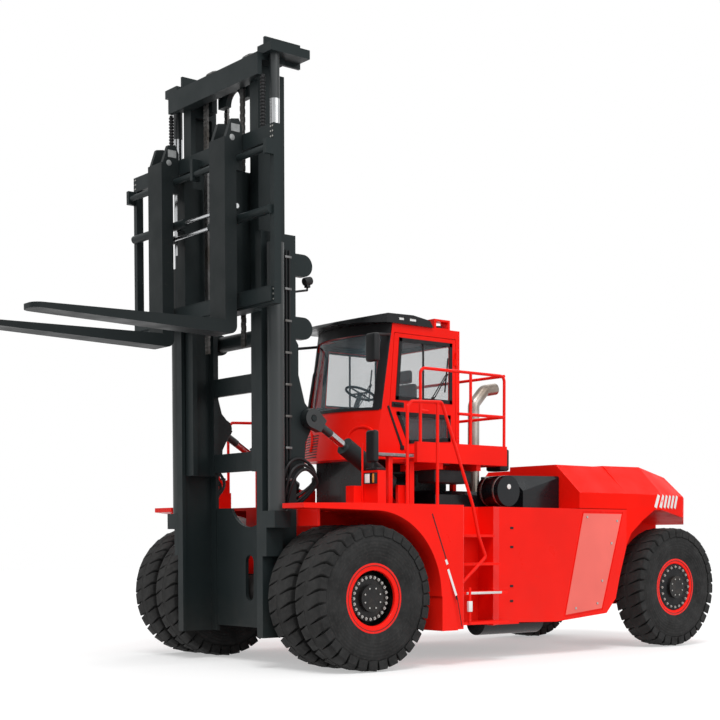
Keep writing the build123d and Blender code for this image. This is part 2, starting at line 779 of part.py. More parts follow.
# Body sides with the stairs
for name, sign in (("left", 1), ("right", -1)):
    with BuildPart() as body_side:
        side(stair_outline, sign * fender_in, sign * stair_out)
        taper = (
            (sign * stair_out, stair_wide_until),
            (sign * (stair_out + overrun), stair_wide_until),
            (sign * (stair_out + overrun), wheelbase),
            (sign * side_out, wheelbase),
            (sign * side_out, stair_taper_end),
        )
        plan(taper, foot_z - overrun, deck_top + overrun, Mode.SUBTRACT)
        side(side_outline, sign * fender_in, sign * side_out)
        slab(recess if sign > 0 else recess._replace(x0=-recess.x1, x1=-recess.x0), Mode.SUBTRACT)
        for tread in treads:
            x0, x1 = sorted((sign * tread.x0, sign * tread.x1))
            slab(Block(x0, x1, recess.y0 - overrun, recess.y1 + overrun, tread.z - tread_thick, tread.z))
        with BuildSketch(Plane.YZ.offset(sign * (side_out - hatch_depth))) as seam:
            with BuildLine():
                Polyline([(p.y + axle_shift, p.z) for p in hatch_outline], close=True)
            make_face()
            offset(amount=-hatch_gap, mode=Mode.SUBTRACT)
        extrude(seam.sketch, amount=sign * (hatch_depth + overrun), mode=Mode.SUBTRACT)
    body_side.part.label = "side_" + name
    export_step(body_side.part, "parts/side_" + name + ".step")

# Counterweight
with BuildPart() as counterweight:
    for near, far in zip(weight_sections, weight_sections[1:]):
        faces = []
        for y, band, top, low, mid, high in (near, far):
            with BuildSketch(Plane.XZ.offset(-(y + axle_shift))) as section:
                with BuildLine():
                    Polyline(
                        [(-band, low), (band, low), (band, mid), (top, high), (-top, high), (-band, mid)],
                        close=True,
                    )
                make_face()
            faces.append(section.sketch)
        loft(faces, ruled=True)
    front(weight_arm, weight_arm_front, weight_front + overrun)
    slab(weight_keel)
    slab(weight_window, Mode.SUBTRACT)
    for sign in (1, -1):
        side(cheek_outline, sign * cheek_in, sign * side_out)
counterweight.part.label = "counterweight"
export_step(counterweight.part, "parts/counterweight.step")

# Engine with its gearbox and shaft
with BuildPart() as engine:
    for block in engine_blocks:
        slab(block)
    for block in engine_mounts:
        twin(block)
    rod(Spot(0.0, shaft_y[0], tyre_radius), Spot(0.0, shaft_y[1] + overrun, tyre_radius), shaft_radius)
engine.part.label = "engine"
export_step(engine.part, "parts/engine.step")

# Engine cover
with BuildPart() as hood:
    for x0, x1, y0, y1, z0, z1 in hood_blocks:
        brow = z1 - hood_edge
        front(
            ((x0, z0), (x1, z0), (x1, brow), (x1 - hood_edge, z1), (x0 + hood_edge, z1), (x0, brow)), y0, y1
        )
    faces = []
    for y, shoulder in zip((intake.y0, intake.y1), intake_shoulder):
        with BuildSketch(Plane.XZ.offset(-(y + axle_shift))) as section:
            with BuildLine():
                corner = (intake.x1, shoulder.z)
                Polyline(
                    [
                        (intake.x0, intake.z0), (intake.x1, intake.z0), corner, (shoulder.y, intake.z1),
                        (intake.x0, intake.z1),
                    ],
                    close=True,
                )
            make_face()
        faces.append(section.sketch)
    loft(faces, ruled=True)
hood.part.label = "hood"
export_step(hood.part, "parts/hood.step")

# Drum beside the cover, tank below the body
with BuildPart() as air_drum:
    across(drum.x - drum_length / 2, drum.x + drum_length / 2, drum.y, drum.z, drum_radius)
air_drum.part.label = "air_drum"
export_step(air_drum.part, "parts/air_drum.step")

with BuildPart() as low_tanks:
    for sign in (1, -1):
        start = Spot(sign * low_tank.x, low_tank.y - low_tank_length / 2, low_tank.z)
        rod(start, start._replace(y=start.y + low_tank_length), low_tank_radius)
        slab(
            Block(
                *sorted((sign * side_out, sign * fender_in)), start.y - overrun,
                start.y + low_tank_length + overrun, low_tank_top, low_tank.z + low_tank_radius + overrun,
            ),
            Mode.SUBTRACT,
        )
low_tanks.part.label = "low_tanks"
export_step(low_tanks.part, "parts/low_tanks.step")

# Exhaust
with BuildPart() as exhaust:
    tube((stack, stack._replace(z=stack_top), stack_bend, stack_end), stack_radius, stack_bend_radius)
    rod(stack_bend, stack_end._replace(y=stack_end.y + overrun), stack_radius - pipe_wall, Mode.SUBTRACT)
exhaust.part.label = "exhaust"
export_step(exhaust.part, "parts/exhaust.step")

# The cab's outline from above, curved in front
def cab_footprint(inset, z):
    half = cab_half - inset
    lean = cab_rake * (cab_roof - z) / (cab_roof - cab_floor)
    rear = cab_rear - inset + axle_shift
    corner = cab_corner_y + axle_shift - lean
    nose = cab_nose_y + inset + axle_shift - lean
    with BuildSketch(Plane.XY.offset(z)) as outline:
        with BuildLine():
            Polyline([(half, corner), (half, rear), (-half, rear), (-half, corner)])
            ThreePointArc((-half, corner), (0, nose), (half, corner))
        make_face()
    return outline.sketch


# A body between two heights of the leaning cab outline
def cab_slice(inset, z0, z1, mode=Mode.ADD):
    loft([cab_footprint(inset, z0), cab_footprint(inset, z1)], mode=mode)


# Cab shell: floor, nose, rear wall, pillars and roof frame
with BuildPart() as cab:
    cab_slice(0, cab_floor, cab_roof)
    cab_slice(cab_wall, cab_floor + floor_thick, cab_eave, Mode.SUBTRACT)
    front_opening = Block(
        pillar - cab_half, cab_half - pillar, cab_nose_y - cab_rake, cab_corner_y + pillar, cab_sill,
        cab_eave,
    )
    slab(front_opening, Mode.SUBTRACT)
    slab(rear_window, Mode.SUBTRACT)
    door_opening = (
        Point(door_front_top - running_gap, cab_eave),
        Point(door_rear + running_gap, cab_eave),
        Point(door_rear + running_gap, door_low - running_gap),
        Point(door_front_low - running_gap, door_low - running_gap),
        Point(door_front_mid - running_gap, cab_sill),
    )
    side(door_opening, -cab_half - overrun, cab_half + overrun, Mode.SUBTRACT)
    for x0, x1 in ((cab_half - cab_wall, cab_half), (-cab_half, cab_wall - cab_half)):
        slab(Block(x0, x1, door_rear + running_gap, cab_rear, cab_floor, cab_roof))
    for sign in (1, -1):
        for z in hinge_rows:
            top = z + fit_gap + hinge_length
            rod(
                Spot(sign * hinge_x, hinge_y, z + fit_gap), Spot(sign * hinge_x, hinge_y, top), hinge_radius
            )
            x0, x1 = sorted((sign * cab_half, sign * hinge_x))
            slab(
                Block(
                    x0, x1, door_rear + running_gap, door_rear + running_gap + hinge_leaf, z + fit_gap, top
                )
            )
    slab(roof_lug)
    slab(roof_lug_hole, Mode.SUBTRACT)
    with BuildPart() as skin:
        cab_slice(-overrun, louvre.z0, louvre.z1)
        cab_slice(louvre_depth, louvre.z0 - overrun, louvre.z1 + overrun, Mode.SUBTRACT)
        slab(louvre, Mode.INTERSECT)
    step_back = louvre_pitch * cab_rake / (cab_roof - cab_floor)
    rows = [Location((0, step_back * row, louvre_pitch * row)) for row in range(louvre_count)]
    add([skin.part.moved(row) for row in rows], mode=Mode.SUBTRACT)
cab.part.label = "cab"
export_step(cab.part, "parts/cab.step")

with BuildPart() as cab_base:
    slab(cab_mount)
    slab(cab_feet)
cab_base.part.label = "cab_base"
export_step(cab_base.part, "parts/cab_base.step")

# Roof visor, cut to the cab's curve in front
with BuildPart() as cab_visor:
    side(visor_outline, -visor_half, visor_half)
    with BuildSketch(Plane.XY.offset(cab_roof)) as brow:
        with BuildLine():
            rear = cab_rear + axle_shift
            corner = visor_corner_y + axle_shift
            Polyline([(visor_half, corner), (visor_half, rear), (-visor_half, rear), (-visor_half, corner)])
            ThreePointArc((-visor_half, corner), (0, visor_outline[0].y + axle_shift), (visor_half, corner))
        make_face()
    extrude(brow.sketch, amount=cab_sill, mode=Mode.INTERSECT)
    for slot in visor_slots:
        twin(slot, Mode.SUBTRACT)
cab_visor.part.label = "cab_visor"
export_step(cab_visor.part, "parts/cab_visor.step")

# Windscreen and rear window
with BuildPart() as cab_glass:
    cab_slice(glass_thick, cab_sill, cab_eave)
    cab_slice(glass_thick + glass_thick, cab_sill - overrun, cab_eave + overrun, Mode.SUBTRACT)
    slab(
        Block(
            -cab_half, cab_half, cab_corner_y + overrun, cab_rear, cab_sill - overrun, cab_eave + overrun
        ),
        Mode.SUBTRACT,
    )
    for sign in (1, -1):
        x0, x1 = sorted((sign * (cab_half - pillar), sign * cab_half))
        slab(
            Block(x0, x1, cab_nose_y - cab_rake, cab_rear, cab_sill - overrun, cab_eave + overrun),
            Mode.SUBTRACT,
        )
    slab(
        rear_window._replace(
            y0=cab_rear - cab_wall + glass_thick, y1=cab_rear - cab_wall + glass_thick + glass_thick
        )
    )
cab_glass.part.label = "cab_glass"
export_step(cab_glass.part, "parts/cab_glass.step")

# Doors and their glass
door_outline = (
    Point(door_front_top, cab_eave - running_gap),
    Point(door_rear, cab_eave - running_gap),
    Point(door_rear, door_low),
    Point(door_front_low, door_low),
    Point(door_front_mid, cab_sill),
)
for name, sign in (("left", 1), ("right", -1)):
    with BuildPart() as door:
        side(door_outline, sign * (cab_half - cab_wall), sign * cab_half)
        side(
            window_high, sign * (cab_half - cab_wall - overrun), sign * (cab_half + overrun), Mode.SUBTRACT
        )
        side(window_low, sign * (cab_half - cab_wall - overrun), sign * (cab_half + overrun), Mode.SUBTRACT)
        for z in hinge_rows:
            rod(
                Spot(sign * hinge_x, hinge_y, z - hinge_length), Spot(sign * hinge_x, hinge_y, z),
                hinge_radius,
            )
            x0, x1 = sorted((sign * cab_half, sign * hinge_x))
            slab(Block(x0, x1, door_rear - hinge_leaf, door_rear, z - hinge_length, z))
    door.part.label = "door_" + name
    export_step(door.part, "parts/door_" + name + ".step")

    with BuildPart() as door_glass:
        side(window_high, sign * (cab_half - glass_thick - glass_thick), sign * (cab_half - glass_thick))
        side(window_low, sign * (cab_half - glass_thick - glass_thick), sign * (cab_half - glass_thick))
    door_glass.part.label = "door_glass_" + name
    export_step(door_glass.part, "parts/door_glass_" + name + ".step")

# Seat and controls
with BuildPart() as seat:
    for block in seat_blocks:
        slab(block)
seat.part.label = "seat"
export_step(seat.part, "parts/seat.step")

with BuildPart() as controls:
    for block in console_blocks:
        slab(block)
    rod(steer_column[0], steer_column[1], column_radius)
    tilt = Vector(0, steer_column[1].y - steer_column[0].y, steer_column[1].z - steer_column[0].z)
    wheel_plane = Plane(origin=(0, steer_column[1].y + axle_shift, steer_column[1].z), z_dir=tilt)
    with Locations(wheel_plane):
        Torus(handwheel_radius, handwheel_tube)
        Box(handwheel_radius + handwheel_radius, handwheel_tube, handwheel_tube)
        Box(handwheel_tube, handwheel_radius + handwheel_radius, handwheel_tube)
controls.part.label = "controls"
export_step(controls.part, "parts/controls.step")

# Walkway, rails and handrail
with BuildPart() as walkway:
    for block in walk_blocks:
        slab(block)
    for block in walk_legs:
        slab(block)
walkway.part.label = "walkway"
export_step(walkway.part, "parts/walkway.step")

with BuildPart() as rails:
    for path in rail_paths:
        tube(path, rail_radius, rail_bend)
rails.part.label = "rails"
export_step(rails.part, "parts/rails.step")

with BuildPart() as handrails:
    for sign in (1, -1):
        tube([spot._replace(x=sign * spot.x) for spot in hoop_path], rail_radius, hoop_bend)
        rod(
            hoop_bar[0]._replace(x=sign * hoop_bar[0].x), hoop_bar[1]._replace(x=sign * hoop_bar[1].x),
            rail_radius,
        )
handrails.part.label = "handrails"
export_step(handrails.part, "parts/handrails.step")

with BuildPart() as lamps:
    for block in lamp_blocks:
        twin(block)
lamps.part.label = "lamps"
export_step(lamps.part, "parts/lamps.step")

with BuildPart() as mirrors:
    for block in mirror_blocks:
        twin(block)
    for arm in mirror_arms:
        for sign in (1, -1):
            rod(arm[0]._replace(x=sign * arm[0].x), arm[1]._replace(x=sign * arm[1].x), arm_radius)
mirrors.part.label = "mirrors"
export_step(mirrors.part, "parts/mirrors.step")

# Outer mast
with BuildPart() as mast_outer:
    for block in (outer_web, outer_front_flange, outer_rear_flange):
        twin(block)
    slab(mast_plate)
    for sign in (1, -1):
        x0, x1 = sorted((sign * outer_web.x0, sign * outer_web.x1))
        side(lug_outline, x0, x1)
        across(x0, x1, tilt_eye.y, tilt_eye.z, lug_round)
        for lobe in tie_lobes:
            across(x0, x1, lobe.y, lobe.z, lobe_radius)
            slab(Block(x0, x1, outer_web.y1 - overrun, lobe.y, lobe.z - lobe_radius, lobe.z + lobe_radius))
    for lobe in tie_lobes:
        across(-outer_web.x0 - overrun, outer_web.x0 + overrun, lobe.y, lobe.z, tie_radius)
    twin(cylinder_foot)
    twin(foot_web)
    twin(barrel_clamp)
    with Locations((0, mast_plate.y0 + axle_shift, plate_hole.z)):
        Box(plate_hole_half, outer_top, plate_hole_radius + plate_hole_radius, mode=Mode.SUBTRACT)
    for z in (plate_hole.z + plate_hole_radius, plate_hole.z - plate_hole_radius):
        rod(
            Spot(0, mast_plate.y0 - overrun, z), Spot(0, mast_plate.y1 + overrun, z), plate_hole_half / 2,
            Mode.SUBTRACT,
        )
    rod(
        Spot(0, mast_plate.y0 - overrun, mast_plate.z1 + scallop_radius / 2),
        Spot(0, mast_plate.y1 + overrun, mast_plate.z1 + scallop_radius / 2), scallop_radius,
        Mode.SUBTRACT,
    )
    for sign in (1, -1):
        with Locations((sign * lift_x, lift_y + axle_shift, (barrel_clamp.z0 + barrel_clamp.z1) / 2)):
            Cylinder(lift_radius, barrel_clamp.z1 - barrel_clamp.z0 + overrun, mode=Mode.SUBTRACT)
        across(
            sign * outer_web.x0, sign * (mast_arm.x1 + running_gap), tilt_pivot.y, tilt_pivot.z,
            tilt_pin_radius,
        )
        across(
            sign * outer_web.x1, sign * (tilt_x + tilt_eye_half + running_gap), tilt_eye.y, tilt_eye.z,
            eye_pin_radius - eye_slack,
        )
mast_outer.part.label = "mast_outer"
export_step(mast_outer.part, "parts/mast_outer.step")

# Lift cylinders
with BuildPart() as lift_barrels:
    for sign in (1, -1):
        low = Spot(sign * lift_x, lift_y, barrel_low)
        rod(low, low._replace(z=barrel_top), lift_radius)
        rod(
            low._replace(z=bore_low), low._replace(z=barrel_top + overrun), lift_rod_radius + fit_gap,
            Mode.SUBTRACT,
        )
lift_barrels.part.label = "lift_barrels"
export_step(lift_barrels.part, "parts/lift_barrels.step")

with BuildPart() as lift_rods:
    for sign in (1, -1):
        low = Spot(sign * lift_x, lift_y, rod_low)
        rod(low, low._replace(z=rod_top), lift_rod_radius)
lift_rods.part.label = "lift_rods"
export_step(lift_rods.part, "parts/lift_rods.step")

# Inner mast
with BuildPart() as mast_inner:
    twin(inner_rail)
    twin(inner_groove, Mode.SUBTRACT)
    for block in inner_cross:
        slab(block)
    for block in rod_heads:
        twin(block)
    rod(
        Spot(0, inner_cross[3].y0 - overrun, inner_cross[3].z0),
        Spot(0, inner_cross[3].y1 + overrun, inner_cross[3].z0), arch_cut_radius / 2, Mode.SUBTRACT,
    )
    twin(pulley_slot, Mode.SUBTRACT)
    for sign in (1, -1):
        across(
            sign * (pulley.x - pulley_half - overrun), sign * inner_rail.x1, pulley.y, pulley.z,
            pulley_pin_radius,
        )
mast_inner.part.label = "mast_inner"
export_step(mast_inner.part, "parts/mast_inner.step")

# Pulleys and lift chains
with BuildPart() as pulleys:
    for sign in (1, -1):
        across(
            sign * (pulley.x - pulley_half), sign * (pulley.x + pulley_half), pulley.y, pulley.z,
            pulley_radius,
        )
        across(
            sign * (pulley.x - pulley_half - overrun), sign * (pulley.x + pulley_half + overrun), pulley.y,
            pulley.z, pulley_pin_radius, Mode.SUBTRACT,
        )
pulleys.part.label = "pulleys"
export_step(pulleys.part, "parts/pulleys.step")

with BuildPart() as lift_chains:
    for sign in (1, -1):
        x0, x1 = sorted((sign * (pulley.x - chain_half), sign * (pulley.x + chain_half)))
        outer = pulley_radius + chain_thick
        across(x0, x1, pulley.y, pulley.z, outer)
        slab(Block(x0, x1, pulley.y - outer, pulley.y + outer, pulley.z - outer, pulley.z), Mode.SUBTRACT)
        slab(Block(x0, x1, pulley.y - outer, pulley.y - pulley_radius, chain_front_low, pulley.z))
        slab(Block(x0, x1, pulley.y + pulley_radius, pulley.y + outer, chain_rear_low, pulley.z))
        across(x0, x1, pulley.y, pulley.z, pulley_radius, Mode.SUBTRACT)
lift_chains.part.label = "lift_chains"
export_step(lift_chains.part, "parts/lift_chains.step")

# Carriage
with BuildPart() as carriage:
    for block in carriage_bars:
        slab(block)
    for block in carriage_posts:
        twin(block)
    twin(roller_plates)
    for sign in (1, -1):
        for z in roller_z:
            across(sign * roller_plates.x0, sign * roller_x1, roller_y, z, roller_radius)
    across(-carriage_half, carriage_half, shaft_bar.y, shaft_bar.z, shaft_bar_radius)
    slab(low_pad)
    for block in shaft_lugs:
        twin(block)
    for spreader in spreaders:
        sign = spreader.barrel_sign
        saddle_x = sorted((sign * spreader_saddle.x0, sign * spreader_saddle.x1))
        slab(
            Block(
                *saddle_x, spreader_saddle.y0, spreader_saddle.y1, spreader.z + spreader_saddle.z0,
                spreader.z + spreader_saddle.z1,
            )
        )
        across(sign * spreader_in, sign * spreader_out, spreader_y, spreader.z, spreader_radius)
        bore_end = sign * (spreader_in - overrun)
        across(
            bore_end, sign * spreader_bore_out, spreader_y, spreader.z, spreader_rod_radius + fit_gap,
            Mode.SUBTRACT,
        )
carriage.part.label = "carriage"
export_step(carriage.part, "parts/carriage.step")

# Forks
blade_outline = (
    Point(shank_front + shank_thick, shank_top),
    Point(shank_front, shank_top),
    Point(shank_front, blade_top),
    Point(fork_tip, tip_high),
    Point(fork_tip, tip_low),
    Point(shank_front + shank_thick, blade_under),
)
for name, centre, sign, z, rod_end in spreaders:
    with BuildPart() as fork:
        side(blade_outline, centre - fork_width / 2, centre + fork_width / 2)
        fillet(fork.edges().filter_by(Axis.Z).group_by(Axis.Y)[0], tip_round)
        heel = fork.edges().filter_by(Axis.X).group_by(Axis.Y)[-1].sort_by(Axis.Z)[0]
        fillet(heel, heel_round)
        for x in (centre - fork_width / 2, centre + fork_width / 2 - ear_thick):
            side(ear_outline, x, x + ear_thick)
        across(
            centre - fork_width, centre + fork_width, shaft_bar.y, shaft_bar.z, shaft_bar_radius + fit_gap,
            Mode.SUBTRACT,
        )
        eye = spreader_eye
        slab(Block(centre + eye.x0, centre + eye.x1, eye.y0, eye.y1, z + eye.z0, z + eye.z1))
        across(centre, rod_end, spreader_y, z, spreader_rod_radius)
    fork.part.label = "fork_" + name
    export_step(fork.part, "parts/fork_" + name + ".step")

# Tilt cylinders
eye = Spot(tilt_x, tilt_eye.y, tilt_eye.z)
anchor = Spot(tilt_x, tilt_anchor.y, tilt_anchor.z)
reach = math.hypot(anchor.y - eye.y, anchor.z - eye.z)
line = Spot(0.0, (eye.y - anchor.y) / reach, (eye.z - anchor.z) / reach)


def along(distance, sign):
    return Spot(sign * tilt_x, anchor.y + line.y * distance, anchor.z + line.z * distance)


def beside(distance, offset):
    return Point(
        anchor.y + line.y * distance - line.z * offset, anchor.z + line.z * distance + line.y * offset
    )


for name, sign in (("left", 1), ("right", -1)):
    x0 = sign * (tilt_x - tilt_eye_half)
    x1 = sign * (tilt_x + tilt_eye_half)
    with BuildPart() as barrel:
        across(x0, x1, anchor.y, anchor.z, tilt_eye_radius)
        rod(along(tilt_neck_start, sign), along(tilt_neck, sign), tilt_eye_half)
        rod(along(tilt_neck, sign), along(tilt_barrel_length, sign), tilt_radius)
        rod(
            along(tilt_bore, sign), along(tilt_barrel_length + overrun, sign), tilt_rod_radius + fit_gap,
            Mode.SUBTRACT,
        )
        across(x0, x1, anchor.y, anchor.z, eye_pin_radius, Mode.SUBTRACT)
    barrel.part.label = "tilt_barrel_" + name
    export_step(barrel.part, "parts/tilt_barrel_" + name + ".step")

    with BuildPart() as tilt_rod:
        rod(along(reach * tilt_rod_share, sign), along(reach, sign), tilt_rod_radius)
        across(x0, x1, eye.y, eye.z, rod_end_radius)
        neck_at = reach - rod_end_length
        ends = (
            (reach, rod_end_radius), (neck_at, rod_end_neck), (neck_at, -rod_end_neck),
            (reach, -rod_end_radius),
        )
        side([beside(distance, offset) for distance, offset in ends], x0, x1)
        across(x0 - sign * overrun, x1 + sign * overrun, eye.y, eye.z, eye_pin_radius, Mode.SUBTRACT)
    tilt_rod.part.label = "tilt_rod_" + name
    export_step(tilt_rod.part, "parts/tilt_rod_" + name + ".step")
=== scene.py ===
import functools
import math

import bmesh
import bpy
from bpy.props import FloatProperty, FloatVectorProperty, IntProperty, PointerProperty
from mathutils import Matrix, Vector


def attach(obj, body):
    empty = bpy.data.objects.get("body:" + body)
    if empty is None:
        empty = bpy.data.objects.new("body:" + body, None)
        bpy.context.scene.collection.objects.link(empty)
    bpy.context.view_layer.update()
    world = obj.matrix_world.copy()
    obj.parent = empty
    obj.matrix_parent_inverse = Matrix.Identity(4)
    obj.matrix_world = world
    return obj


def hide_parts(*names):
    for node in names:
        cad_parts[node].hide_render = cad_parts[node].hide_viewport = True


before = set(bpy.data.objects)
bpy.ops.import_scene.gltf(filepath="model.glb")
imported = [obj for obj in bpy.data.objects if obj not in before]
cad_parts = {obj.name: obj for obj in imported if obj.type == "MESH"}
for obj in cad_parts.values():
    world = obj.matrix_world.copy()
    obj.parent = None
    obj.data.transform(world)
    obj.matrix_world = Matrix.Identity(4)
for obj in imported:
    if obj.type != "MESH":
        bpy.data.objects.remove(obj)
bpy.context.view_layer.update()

bl_info = {
    "name": "Heavy lift truck dressing",
    "version": (1, 0, 0),
    "blender": (4, 5, 0),
    "location": "View3D > Sidebar > Truck",
    "description": "Tyres, trim, seat, chains and finishes over the packed lift truck",
    "category": "Object",
}

# Metres; places count Y from the front axle, and at() brings them into the frame
AXLE_Y = -1.8
REAR_Y = 6.4
WHEEL_Z = 0.92

# The cab's front is an upright arc that leans back with height
NOSE_ARC = 1.503
NOSE_Y = 2.653
NOSE_TOP = 4.60
NOSE_LEAN = 0.30 / 1.85

signs = (1, -1)
sides = (("left", 1), ("right", -1))


def at(x, y, z):
    return Vector((x, y + AXLE_Y, z))


# Finishes


class Graph:
    """A node tree under construction, of a material or of the world."""

    def __init__(self, name, world=False):
        self.owner = (bpy.data.worlds if world else bpy.data.materials).new(name)
        self.owner.use_nodes = True
        self.tree = self.owner.node_tree
        self.tree.nodes.clear()
        self.output = self.node("OutputWorld" if world else "OutputMaterial")

    def node(self, kind, ends=(), **settings):
        """Adds a node; its ends are plain values or the sockets that feed it."""
        made = self.tree.nodes.new("ShaderNode" + kind)
        for key, value in settings.items():
            setattr(made, key, value)
        for key, value in dict(ends).items():
            if isinstance(value, bpy.types.NodeSocket):
                self.tree.links.new(value, made.inputs[key])
            elif value is not None:
                made.inputs[key].default_value = value
        return made

    @functools.cached_property
    def coords(self):
        return self.node("TexCoord").outputs["Object"]

    def mapped(self, **ends):
        return self.node("Mapping", {"Vector": self.coords, **ends}).outputs["Vector"]

    def noise(self, scale, detail=3.0, stretch=(1.0, 1.0, 1.0)):
        ends = {"Vector": self.mapped(Scale=stretch), "Scale": scale, "Detail": detail}
        return self.node("TexNoise", ends).outputs["Fac"]

    def wave(self, scale, direction, distortion=0.0):
        ends = {"Vector": self.coords, "Scale": scale, "Distortion": distortion}
        return self.node("TexWave", ends, bands_direction=direction).outputs["Fac"]

    def span(self, source, low, high, out_low, out_high):
        ends = {"Value": source, "From Min": low, "From Max": high, "To Min": out_low, "To Max": out_high}
        return self.node("MapRange", ends).outputs["Result"]

    def rough(self, source, low, high):
        return self.span(source, 0.3, 0.7, low, high)

    def math(self, operation, first, second=None):
        return self.node("Math", {0: first, 1: second}, operation=operation).outputs["Value"]

    def mix(self, factor, first, second):
        first, second = (c if isinstance(c, bpy.types.NodeSocket) else (*c, 1.0) for c in (first, second))
        ends = {"Factor": factor, "A": first, "B": second}
        return self.node("Mix", ends, data_type="RGBA").outputs["Result"]

    def tones(self, factor, colour, dark, light):
        made = self.node("ValToRGB", {"Fac": factor})
        for stop, position, share in zip(made.color_ramp.elements, (0.3, 0.72), (dark, light)):
            stop.position = position
            stop.color = (*[min(1.0, c * share) for c in colour], 1.0)
        return made.outputs["Color"]

    def bump(self, height, strength, distance, after=None):
        ends = {"Height": height, "Strength": strength, "Distance": distance, "Normal": after}
        return self.node("Bump", ends).outputs["Normal"]

    def radius(self, centre):
        """Distance from a line along X, such as a wheel's axle, for patterns that ring it."""
        place = self.mapped(Location=(0.0, -centre[1], -centre[2]), Scale=(0.0, 1.0, 1.0))
        return self.node("VectorMath", {0: place}, operation="LENGTH").outputs["Value"]

    def height(self):
        return self.node("SeparateXYZ", {"Vector": self.coords}).outputs["Z"]

    def seen(self):
        """One for rays from the camera, a gloss or a glass, and nothing for the rest."""
        rays = self.node("LightPath").outputs
        near = self.math("MAXIMUM", rays["Is Camera Ray"], rays["Is Glossy Ray"])
        return self.math("MAXIMUM", near, rays["Is Transmission Ray"])

    def finish(self, shader):
        self.tree.links.new(shader.outputs[0], self.output.inputs["Surface"])

    def surface(self, colour, roughness, normal=None, **others):
        ends = {"Base Color": colour, "Roughness": roughness, "Normal": normal}
        ends.update((name.replace("_", " "), value) for name, value in others.items())
        self.finish(self.node("BsdfPrincipled", ends))
        return self.owner


CHROME = (0.50, 0.51, 0.52)
EVEN = (1.0, 1.0, 1.0)
DRAWN = (1.0, 1.0, 0.05)


def paint(name, colour, rough, coat=0.0, dust=0.2, level=1.3, peel=0.05, shine=0.22, rod=None):
    """Sprayed enamel with orange peel, low dust and rub marks; a rod through it stays bright."""
    graph = Graph(name)
    toned = graph.tones(graph.noise(0.9), colour, 0.9, 1.07)
    low = graph.span(graph.height(), 0.1, level, dust, 0.0)
    dusty = graph.math("MULTIPLY", low, graph.span(graph.noise(5.0, 6.0), 0.35, 0.7, 0.2, 1.0))
    rubs = graph.span(graph.noise(9.0, 8.0, (1.0, 1.0, 7.0)), 0.66, 0.72, 0.0, 0.05)
    shade = graph.mix(graph.math("ADD", dusty, rubs), toned, (0.20, 0.15, 0.12))
    roughness = graph.rough(graph.noise(3.0, 5.0), rough - 0.05, rough + 0.12)
    bright = None
    if rod is not None:
        bright = graph.span(graph.radius(rod), 0.028, 0.032, 1.0, 0.0)
        shade = graph.mix(bright, shade, CHROME)
        roughness = graph.math("MULTIPLY", roughness, graph.span(bright, 0.0, 1.0, 1.0, 0.45))
    skin = graph.bump(graph.noise(70.0, 2.0), peel, 0.004)
    others = {"Coat_Weight": coat, "Coat_Roughness": 0.08, "Specular_IOR_Level": shine}
    return graph.surface(shade, roughness, skin, Metallic=bright, **others)


def cast(name, colour, rough=0.62):
    """Cast or rough-rolled metal with a grainy skin."""
    graph = Graph(name)
    toned = graph.tones(graph.noise(7.0, 6.0), colour, 0.7, 1.3)
    oily = graph.mix(graph.span(graph.noise(2.0, 4.0), 0.5, 0.75, 0.0, 0.35), toned, (0.02, 0.016, 0.012))
    roughness = graph.rough(graph.noise(6.0), rough - 0.15, rough + 0.1)
    return graph.surface(oily, roughness, graph.bump(graph.noise(160.0, 4.0), 0.35, 0.004), Metallic=0.35)


def bare_steel(name, colour, rough, stretch=EVEN, tint=None):
    """Polished or drawn steel with marks along its length."""
    graph = Graph(name)
    marks = graph.noise(120.0, 4.0, stretch)
    toned = graph.tones(marks, colour, 0.85, 1.1)
    if tint is not None:
        toned = graph.mix(graph.span(graph.noise(1.6, 5.0), 0.42, 0.62, 0.0, 0.75), toned, tint)
    roughness = graph.rough(marks, rough, rough + 0.16)
    return graph.surface(toned, roughness, graph.bump(marks, 0.08, 0.002), Metallic=1.0)


def rubber(name, centre):
    """Tyre rubber: dry grey on the tread, rings on the sidewall, pale scuffs scattered by noise."""
    graph = Graph(name)
    radius = graph.radius(centre)
    toned = graph.tones(graph.noise(4.0, 7.0), (0.016, 0.016, 0.016), 0.7, 1.6)
    scuffs = graph.span(graph.noise(26.0, 8.0), 0.52, 0.7, 0.0, 0.25)
    scuffed = graph.mix(scuffs, toned, (0.06, 0.057, 0.053))
    worn = graph.mix(graph.span(radius, 0.89, 0.92, 0.0, 0.2), scuffed, (0.075, 0.073, 0.07))
    rings = graph.math("SINE", graph.math("MULTIPLY", radius, 150.0))
    inner, outer = graph.span(radius, 0.50, 0.54, 0.0, 1.0), graph.span(radius, 0.74, 0.78, 1.0, 0.0)
    band = graph.math("MULTIPLY", inner, outer)
    ringed = graph.bump(graph.math("MULTIPLY", rings, band), 0.35, 0.004)
    grain = graph.bump(graph.noise(200.0, 5.0), 0.25, 0.002, ringed)
    return graph.surface(worn, graph.rough(graph.noise(10.0), 0.68, 0.9), grain, Specular_IOR_Level=0.2)


def wheel_paint(name, centre, ring, hub):
    """One wheel disc in two colours: the rim ring's red outside a radius, and near-black within it, which is
    painted shade of the wheel's recess and also covers the rim's inner wall.
    """
    graph = Graph(name)
    recess_shade = graph.tones(graph.noise(12.0, 6.0), hub, 0.6, 1.7)
    outside = graph.tones(graph.noise(3.0, 4.0), ring, 0.82, 1.08)
    wheel = graph.mix(graph.span(graph.radius(centre), 0.408, 0.416, 0.0, 1.0), recess_shade, outside)
    dirty = graph.mix(graph.span(graph.noise(8.0, 8.0), 0.5, 0.72, 0.0, 0.3), wheel, (0.06, 0.045, 0.035))
    skin = graph.bump(graph.noise(90.0), 0.08, 0.003)
    roughness = graph.rough(graph.noise(9.0), 0.3, 0.55)
    return graph.surface(dirty, roughness, skin, Coat_Weight=0.05, Specular_IOR_Level=0.25)


